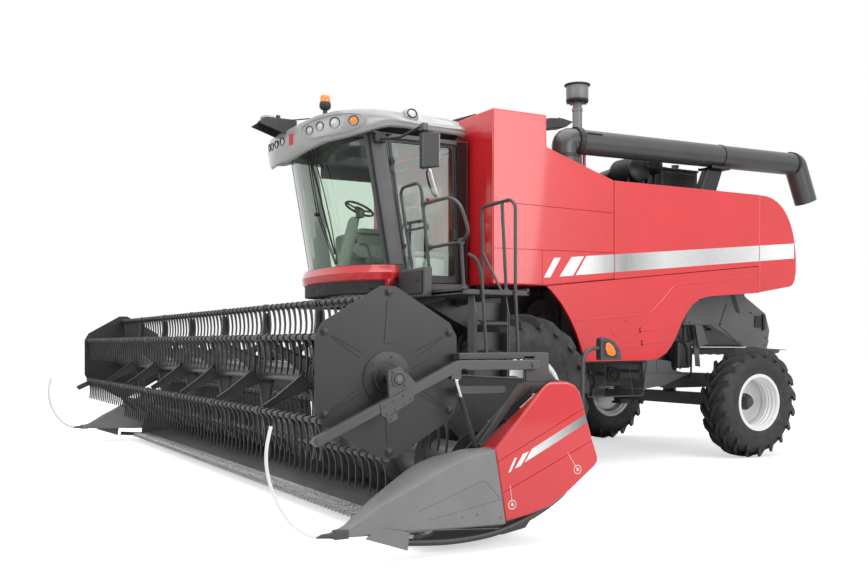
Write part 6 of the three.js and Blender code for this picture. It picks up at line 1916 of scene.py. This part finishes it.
def stack():
    x, y = 0.7, 1.36
    tailpipe = turned("stack_pipe", "z", [(3.2, 0.0), (3.2, 0.06), (4.3, 0.06), (4.302, 0.066),
            (4.34, 0.066), (4.342, 0.058), (4.36, 0.056), (4.395, 0.056), (4.395, 0.07), (4.41, 0.09),
            (4.412, 0.0)], (x, y, 0), 32)
    base = turned("stack_base_ring", "z", [(4.405, 0.0), (4.405, 0.118), (4.412, 0.13), (4.432, 0.14),
            (4.445, 0.14), (4.447, 0.13), (4.447, 0.0)], (x, y, 0), 36)
    can = turned("stack_can", "z", [(4.446, 0.0), (4.446, 0.132), (4.455, 0.136), (4.6, 0.138),
            (4.612, 0.136), (4.616, 0.128), (4.617, 0.0)], (x, y, 0), 40)
    lid = turned("stack_lid", "z", [(4.614, 0.0), (4.614, 0.15), (4.618, 0.16), (4.626, 0.162),
            (4.632, 0.158), (4.638, 0.12), (4.64, 0.0)], (x, y, 0), 40)
    ring_bolts = [rod("base_bolt", (x + math.cos(t) * 0.125, y + math.sin(t) * 0.125, 4.398),
            (x + math.cos(t) * 0.125, y + math.sin(t) * 0.125, 4.41), 0.008, 6)
            for t in [math.tau * k / 8 for k in range(8)]]
    seat(joined("stack", tailpipe, can), "chassis", "frame_charcoal", stack_grey)
    seat(joined("stack_rings", base, lid, ring_bolts), "chassis", "deck_black", deck_paint)


def engine_deck():
    floor_z, under = 3.22, 3.18
    floor = block("deck_floor", (-1.458, 1.291, under), (1.458, 3.62, floor_z), 0.006)
    ribs = row(block("deck_rib", (-1.4, 1.35, floor_z - 0.002), (1.4, 1.37, floor_z + 0.006), 0.002), 22,
            (0, 0.1, 0))
    seat(joined("engine_deck_floor", floor, ribs), "chassis", "deck_black", deck_paint, "engine_deck")
    cover = block("engine_cover", (0.45, 1.98, floor_z), (0.72, 2.52, 3.49), 0.03, 3)
    legs = [rod("cleaner_leg", (0.5 + 0.26 * i, 2.12 + 0.22 * j, 3.4),
            (0.5 + 0.26 * i, 2.12 + 0.22 * j, 3.62), 0.014, 10) for i in (0, 1) for j in (0, 1)]
    # air cleaner: a ribbed drum lying across the deck, with its cap and its inlet
    profile = [(0.42, 0.0), (0.42, 0.13), (0.43, 0.15)]
    for k in range(9):
        at = 0.45 + k * 0.038
        profile += [(at, 0.152), (at + 0.008, 0.165), (at + 0.02, 0.165), (at + 0.028, 0.152)]
    profile += [(0.8, 0.15), (0.805, 0.165), (0.845, 0.165), (0.86, 0.14), (0.862, 0.0)]
    drum = turned("air_cleaner", "x", profile, (0, 2.23, 3.65), 30)
    inlet = pipe("cleaner_inlet", [(0.5, 2.23, 3.72), (0.38, 2.2, 3.66), (0.3, 1.8, 3.5), (0.3, 1.6, 3.3)],
            0.07, 0.12, 4)
    muffler = turned("muffler", "y", [(2.3, 0.0), (2.3, 0.06), (2.32, 0.1), (2.36, 0.115), (2.36, 0.12),
            (2.4, 0.12), (2.4, 0.115), (2.48, 0.115), (2.48, 0.12), (2.52, 0.12), (2.52, 0.115),
            (2.58, 0.1), (2.6, 0.06), (2.6, 0.0)], (0.78, 0, 3.72), 28)
    strap = [block("muffler_leg", (0.74, y, 3.22), (0.8, y + 0.02, 3.62), 0.004) for y in (2.4, 2.52)]
    seat(joined("engine_cover", cover, strap, legs), "chassis", "deck_black", locker_dark)
    seat(joined("air_cleaner", drum, inlet, muffler), "chassis", "deck_black", deck_paint)
    # radiator housing with its lid, latch knobs, slatted screen and outlet
    housing = block("radiator_housing", (-0.5, 2.64, floor_z), (0.78, 3.28, 3.7), 0.02, 3)
    lid = block("radiator_lid", (-0.52, 2.62, 3.69), (0.79, 3.29, 3.72), 0.01)
    knobs = [turned("lid_knob", "z", [(3.718, 0.0), (3.718, 0.03), (3.735, 0.034), (3.74, 0.022),
            (3.742, 0.0)], (x, y, 0), 14) for x in (-0.3, 0.1, 0.55, 0.7) for y in (2.7, 2.76)]
    slat = block("radiator_slat", (0.785, 2.7, 3.3), (0.792, 3.22, 3.312), 0.002)
    slats = row(slat, 14, (0, 0, 0.026))
    outlet = turned("radiator_outlet", "z", [(3.72, 0.0), (3.72, 0.045), (3.78, 0.045), (3.785, 0.052),
            (3.8, 0.05), (3.802, 0.0)], (0.6, 3.05, 0), 18)
    seat(joined("radiator_housing", housing, lid, slats), "chassis", "deck_black", locker_dark)
    seat(joined("radiator_fittings", knobs, outlet), "chassis", "frame_charcoal", rail_paint)
    fuel_box = block("fuel_tank", (-1.15, 1.9, floor_z), (-0.65, 2.9, 3.51), 0.07, 5)
    straps = [block("fuel_strap", (-1.157, y, floor_z), (-0.643, y + 0.05, 3.517), 0.05, 5)
            for y in (2.1, 2.65)]
    cap = turned("fuel_cap", "z", [(3.505, 0.0), (3.505, 0.05), (3.52, 0.06), (3.55, 0.058), (3.56, 0.04),
            (3.562, 0.0)], (-0.9, 2.0, 0), 22)
    seat(fuel_box, "chassis", "deck_black", black_plastic)
    seat(joined("fuel_fittings", straps, cap), "chassis", "frame_charcoal", rail_paint)
    hose = pipe("deck_hose", [(0.3, 2.7, 3.5), (0.25, 2.45, 3.56), (0.3, 2.25, 3.45), (0.44, 2.15, 3.35)],
            0.03, 0.1, 3)
    low_hose = pipe("deck_hose_low", [(-0.6, 2.3, 3.25), (-0.3, 2.1, 3.3), (0.1, 2.0, 3.28),
            (0.46, 2.1, 3.3)], 0.02, 0.1, 3)
    seat(joined("deck_hoses", hose, low_hose), "chassis", "deck_black", seal_rubber)
    post = block("deck_post", (1.18, 1.07, 3.38), (1.21, 1.1, 3.66), 0.004)
    seat(post, "chassis", "painted_red", dark_red)
    hand = [pipe("deck_rail", [(-1.4, 1.6, 3.22), (-1.4, 1.6, 3.95), (-1.4, 3.3, 3.95), (-1.4, 3.3, 3.22)],
            0.016, 0.1), rod("deck_rail_mid", (-1.4, 1.6, 3.6), (-1.4, 3.3, 3.6), 0.012, 10),
            rod("deck_rail_post", (-1.4, 2.45, 3.22), (-1.4, 2.45, 3.95), 0.014, 10)]
    seat(joined("deck_rails", hand), "chassis", "frame_charcoal", rail_paint)


def tank_cover():
    """The folded grain tank cover: two ribbed leaves and the flap that shows above the rear edge."""
    leaves = []
    for side in (-1, 1):
        leaf = plate("tank_leaf", "y", [(side * 0.02, 3.99), (side * 1.1, 3.99), (side * 1.1, 4.0),
                (side * 0.62, 4.03), (side * 0.02, 4.07)], -0.36, 0.32, 0.004)
        leaves.append(leaf)
        for y in (-0.2, 0.0, 0.2):
            leaves.append(plate("leaf_rib", "y", [(side * 0.05, 4.06), (side * 0.05, 4.085),
                    (side * 0.62, 4.045), (side * 1.05, 4.015), (side * 1.05, 4.0), (side * 0.62, 4.02)],
                    y, y + 0.03, 0.004))
    flap = plate("tank_flap", "x", [(0.33, 3.86), (0.7, 3.96), (0.93, 4.0), (1.03, 4.07), (0.87, 4.095),
            (0.7, 4.08), (0.33, 3.99)], 0.86, 1.06, 0.006)
    strut = rod("flap_strut", (0.96, 0.86, 4.09), (0.96, 0.9, 4.12), 0.01, 10)
    seat(joined("tank_cover", leaves, flap, strut), "chassis", "deck_black", locker_dark)


unloader()
stack()
engine_deck()
tank_cover()


# ---------------------------------------------------------------- chassis, belly and straw chopper
def rounded_copy(node, name, body, slot, coating, edge=0.008, angle=40):
    piece = reshaded(softened(on_axle(from_cad(node, name)), edge, 2, angle))
    return seat(piece, body, slot, coating, node)


def frames():
    rounded_copy("main_frame", "main_frame_beams", "chassis", "frame_charcoal", frame_paint, 0.008)
    rounded_copy("front_axle", "front_axle_beam", "chassis", "frame_charcoal", frame_paint, 0.012)
    rounded_copy("rear_axle", "rear_axle_beam", "chassis", "frame_charcoal", frame_paint, 0.012)
    for hand in ("left", "right"):
        rounded_copy(f"knuckle_{hand}", f"knuckle_{hand}_casting", f"knuckle_{hand}", "frame_charcoal",
                frame_paint, 0.01)
    rounded_copy("separator_housing", "separator_walls", "chassis", "frame_charcoal", frame_paint, 0.012)
    rounded_copy("engine_block", "engine_casting", "chassis", "deck_black", deck_paint, 0.02)
    ribs = []
    for side in (-1, 1):
        for y in (0.6, 1.1, 1.6, 2.1, 2.6, 3.1):
            ribs.append(block("wall_rib", (side * 0.7 - 0.012, y, 1.24),
                    (side * 0.7 + 0.012, y + 0.05, 2.3), 0.006))
        for y, z, radius in ((0.75, 1.75, 0.22), (1.5, 1.45, 0.16), (1.95, 1.95, 0.28), (2.55, 1.55, 0.14)):
            ribs.append(pulley((side * 0.78, y, z), radius, side))
    seat(joined("wall_drives", ribs), "chassis", "frame_charcoal", frame_paint)


def pulley(centre, radius, side):
    """A belt pulley with a grooved rim, a dished web and a hub."""
    x, y, z = centre
    profile = [(-0.05, 0.0), (-0.05, 0.035), (-0.02, 0.04), (-0.006, 0.05), (-0.006, radius * 0.8),
            (-0.035, radius * 0.86), (-0.035, radius), (-0.012, radius * 0.93), (0.012, radius * 0.93),
            (0.035, radius), (0.035, radius * 0.86), (0.006, radius * 0.8), (0.006, 0.05), (0.03, 0.045),
            (0.04, 0.03), (0.04, 0.0)]
    return turned("pulley", "x", [(side * a, r) for a, r in profile], (x, y, z), 32)


def mesh_guard():
    """A framed wire grille outboard of the belts, with two pulleys behind it."""
    corners = [(1.05, 1.22), (1.99, 1.22), (1.93, 0.81), (1.1, 0.81)]
    for side, hand in SIDES:
        x = side * 1.25
        edge = pipe("mesh_frame", [(x, y, z) for y, z in corners + corners[:1]], 0.009, 0.02, 2)
        wires = []
        upright = row(rod("mesh_wire", (x, 1.075, 0.82), (x, 1.075, 1.215), 0.0024, 4), 50, (0, 0.0172, 0))
        level = row(rod("mesh_wire", (x, 1.07, 0.83), (x, 1.96, 0.83), 0.0024, 4), 23, (0, 0, 0.0172))
        wires += [upright, level]
        bars = [rod("mesh_bar", (x, 1.36, 1.22), (x, 1.33, 0.81), 0.006, 8),
                rod("mesh_bar", (x, 1.7, 1.22), (x, 1.78, 0.81), 0.006, 8)]
        arms = [block("mesh_arm", (min(side * 0.72, x), y, 1.08), (max(side * 0.72, x), y + 0.03, 1.12),
                0.005) for y in (1.12, 1.88)]
        wheels = [pulley((side * 0.98, 1.28, 0.98), 0.13, side),
                pulley((side * 0.98, 1.68, 1.06), 0.1, side)]
        axles = [rod("pulley_shaft", (side * 0.7, 1.28, 0.98), (side * 1.03, 1.28, 0.98), 0.03, 14),
                rod("pulley_shaft", (side * 0.7, 1.68, 1.06), (side * 1.03, 1.68, 1.06), 0.025, 14)]
        seat(joined(f"belly_mesh_{hand}", wires), "chassis", "deck_black", deck_paint)
        seat(joined(f"belly_mesh_frame_{hand}", edge, bars, arms), "chassis", "frame_charcoal", frame_paint)
        seat(joined(f"belly_drive_{hand}", wheels, axles), "chassis", "frame_charcoal", frame_paint)


def belly_boxes():
    """The folded housings that hang under the body between the axles."""
    for side, hand in SIDES:
        low, high = sorted((side * 0.3, side * 0.8))
        shoe = plate("sieve_box", "x", [(2.32, 1.2), (2.44, 1.26), (2.8, 1.21), (2.82, 1.1), (3.12, 1.045),
                (2.71, 0.9), (2.35, 0.86)], low, high, 0.012)
        fold = [rod("sieve_fold", (side * 0.803, 2.33, 1.07), (side * 0.803, 3.1, 1.05), 0.006, 6),
                rod("sieve_fold", (side * 0.803, 2.55, 1.25), (side * 0.803, 2.55, 1.06), 0.004, 6)]
        can = block("oil_can", (side * 0.78 - 0.1, 2.84, 1.12), (side * 0.78 + 0.1, 3.07, 1.47), 0.03, 3)
        spigot = pipe("can_pipe", [(side * 0.9, 2.83, 1.54), (side * 0.9, 2.86, 1.5),
                (side * 0.9, 2.98, 1.4), (side * 0.9, 2.99, 1.16)], 0.012, 0.06)
        leaves = [plate("hanging_leaf", "x", [(3.23, 1.69), (3.35, 1.69), (3.46, 1.44), (3.29, 1.38)],
                side * 0.78, side * 0.786, 0.002),
                plate("hanging_leaf", "x", [(3.22, 1.69), (3.3, 1.69), (3.33, 1.38), (3.36, 1.13),
                (3.27, 1.14)], side * 0.74, side * 0.746, 0.002)]
        lines = [pipe("brake_line", [(side * 0.86, 3.01, 1.68), (side * 0.86, 3.09, 1.34),
                (side * 0.8, 3.14, 1.0), (side * 0.62, 3.2, 0.98)], 0.013, 0.1),
                pipe("brake_line", [(side * 0.84, 3.15, 1.68), (side * 0.84, 3.16, 1.34),
                (side * 0.6, 3.13, 1.1)], 0.009, 0.1)]
        seat(joined(f"sieve_box_{hand}", shoe, fold), "chassis", "frame_charcoal", sheet_paint)
        seat(joined(f"oil_can_{hand}", can), "chassis", "frame_charcoal", frame_paint)
        seat(joined(f"hanging_leaves_{hand}", leaves), "chassis", "grey_sheet", sheet_paint)
        seat(joined(f"brake_lines_{hand}", spigot, lines), "chassis", "deck_black", seal_rubber)


def chopper():
    body = reshaded(softened(on_axle(from_cad("straw_chopper", "chopper_case")), 0.014, 2, 30))
    seat(body, "chassis", "grey_sheet", sheet_paint, "straw_chopper")
    for side, hand in SIDES:
        low, high = sorted((side * 0.8, side * 0.812))
        cheek = plate("chopper_cheek", "x", [(3.64, 1.675), (4.06, 1.4), (4.53, 1.37), (4.57, 1.49),
                (3.77, 1.96)], low, high, 0.006)
        panel = plate("chopper_panel", "x", [(3.02, 1.7), (3.6, 1.69), (3.72, 1.95), (3.62, 2.08),
                (3.12, 2.1)], low, high, 0.006)
        slot = plate("chopper_slot", "x", [(3.84, 2.11), (3.92, 2.11), (4.03, 1.85), (3.96, 1.86)],
                side * 0.801, side * 0.806)
        seat(joined(f"chopper_plates_{hand}", cheek, panel), "chassis", "grey_sheet", sheet_paint)
        bits = [block("chopper_pocket", (side * 0.806 - 0.01, 4.3, 1.66),
                (side * 0.806 + 0.01, 4.42, 1.82), 0.006),
                block("chopper_pocket", (side * 0.81 - 0.02, 4.44, 1.62), (side * 0.81 + 0.02, 4.49, 1.84),
                0.008)]
        for y, z in ((3.1, 1.72), (3.66, 1.7), (4.02, 1.45), (4.48, 1.42), (4.5, 1.52), (3.3, 2.02),
                (4.22, 1.86)):
            bits.append(rod("chopper_bolt", (side * 0.806, y, z), (side * 0.82, y, z), 0.01, 6))
        seat(joined(f"chopper_marks_{hand}", slot, bits), "chassis", "deck_black", deck_paint)
    # spreader board with its guide fins, under the case
    fins = []
    for i in range(9):
        x = -0.68 + i * 0.17
        fin = plate("spread_fin", "x", [(4.1, 1.385), (4.58, 1.355), (4.93, 1.345), (4.9, 1.305),
                (4.6, 1.27), (4.15, 1.34)], x - 0.003, x + 0.003)
        fins.append(fin)
    board = plate("spread_board", "x", [(4.08, 1.385), (4.55, 1.372), (4.95, 1.352), (4.95, 1.346),
            (4.55, 1.366), (4.08, 1.379)], -0.79, 0.79, 0.002)
    back = block("chopper_door", (-0.7, 4.585, 1.52), (0.7, 4.612, 1.6), 0.01)
    hinge = [rod("door_knuckle", (x, 4.6, 1.62), (x + 0.12, 4.6, 1.62), 0.016, 12)
            for x in (-0.6, -0.06, 0.48)]
    seat(joined("spread_board", board, fins, back, hinge), "chassis", "grey_sheet", sheet_paint)


def marker_lamp():
    for side, hand in SIDES:
        x = side * 1.9
        arm = pipe(f"marker_arm_{hand}", [(x, 0.76, 1.39), (x, 0.62, 1.385), (x, 0.52, 1.3),
                (x, 0.51, 0.36), (x, -0.95, 0.36), (side * 1.2, -1.02, 0.36), (side * 0.95, -1.0, 0.75),
                (side * 0.8, -0.6, 1.06), (side * 0.7, -0.6, 1.08)], 0.024, 0.1, 4)
        shell = plate(f"marker_housing_{hand}", "x", [(0.735, 1.255), (0.735, 1.49), (0.76, 1.51),
                (0.85, 1.5), (0.94, 1.455), (1.0, 1.39), (1.03, 1.31), (1.035, 1.26)], x - 0.05, x + 0.045,
                0.016, 3)
        hood = plate(f"marker_hood_{hand}", "x", [(0.77, 1.3), (0.77, 1.455), (0.79, 1.47), (0.86, 1.46),
                (0.92, 1.42), (0.96, 1.36), (0.965, 1.3), (0.95, 1.285), (0.79, 1.285)], x + side * 0.04,
                x + side * 0.05, 0.004)
        lens = plate(f"marker_lens_{hand}", "x", [(0.79, 1.38), (0.8, 1.44), (0.84, 1.452), (0.9, 1.41),
                (0.935, 1.34), (0.92, 1.31), (0.87, 1.3), (0.82, 1.32)], x + side * 0.045,
                x + side * 0.062, 0.008, 3)
        seat(joined(f"marker_arm_{hand}", arm, shell), "chassis", "frame_charcoal", rail_paint)
        seat(hood, "chassis", "deck_black", locker_dark)
        seat(lens, "chassis", "bright_steel", amber_lens)


frames()
mesh_guard()
belly_boxes()
chopper()
marker_lamp()


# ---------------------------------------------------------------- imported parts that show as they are
SLOT_FINISH = {"painted_red": red_enamel, "frame_charcoal": frame_paint, "deck_black": deck_paint,
        "header_charcoal": header_paint, "grey_plastic": nose_plastic, "grey_sheet": sheet_paint,
        "roof_grey": roof_shell, "rim_silver": wheel_silver, "bright_steel": zinc, "tyre_rubber": rubber,
        "cab_glass": cab_glass, "seat_fabric": seat_cloth,}
for entry in frame["record"]["subparts"]:
    node = frame["nodes"].get(entry.get("node") or entry.get("name"))
    if node is not None:
        node.data.materials.clear()
        node.data.materials.append(SLOT_FINISH[entry["material_slot"]])


# ---------------------------------------------------------------- last update
bpy.context.view_layer.update()
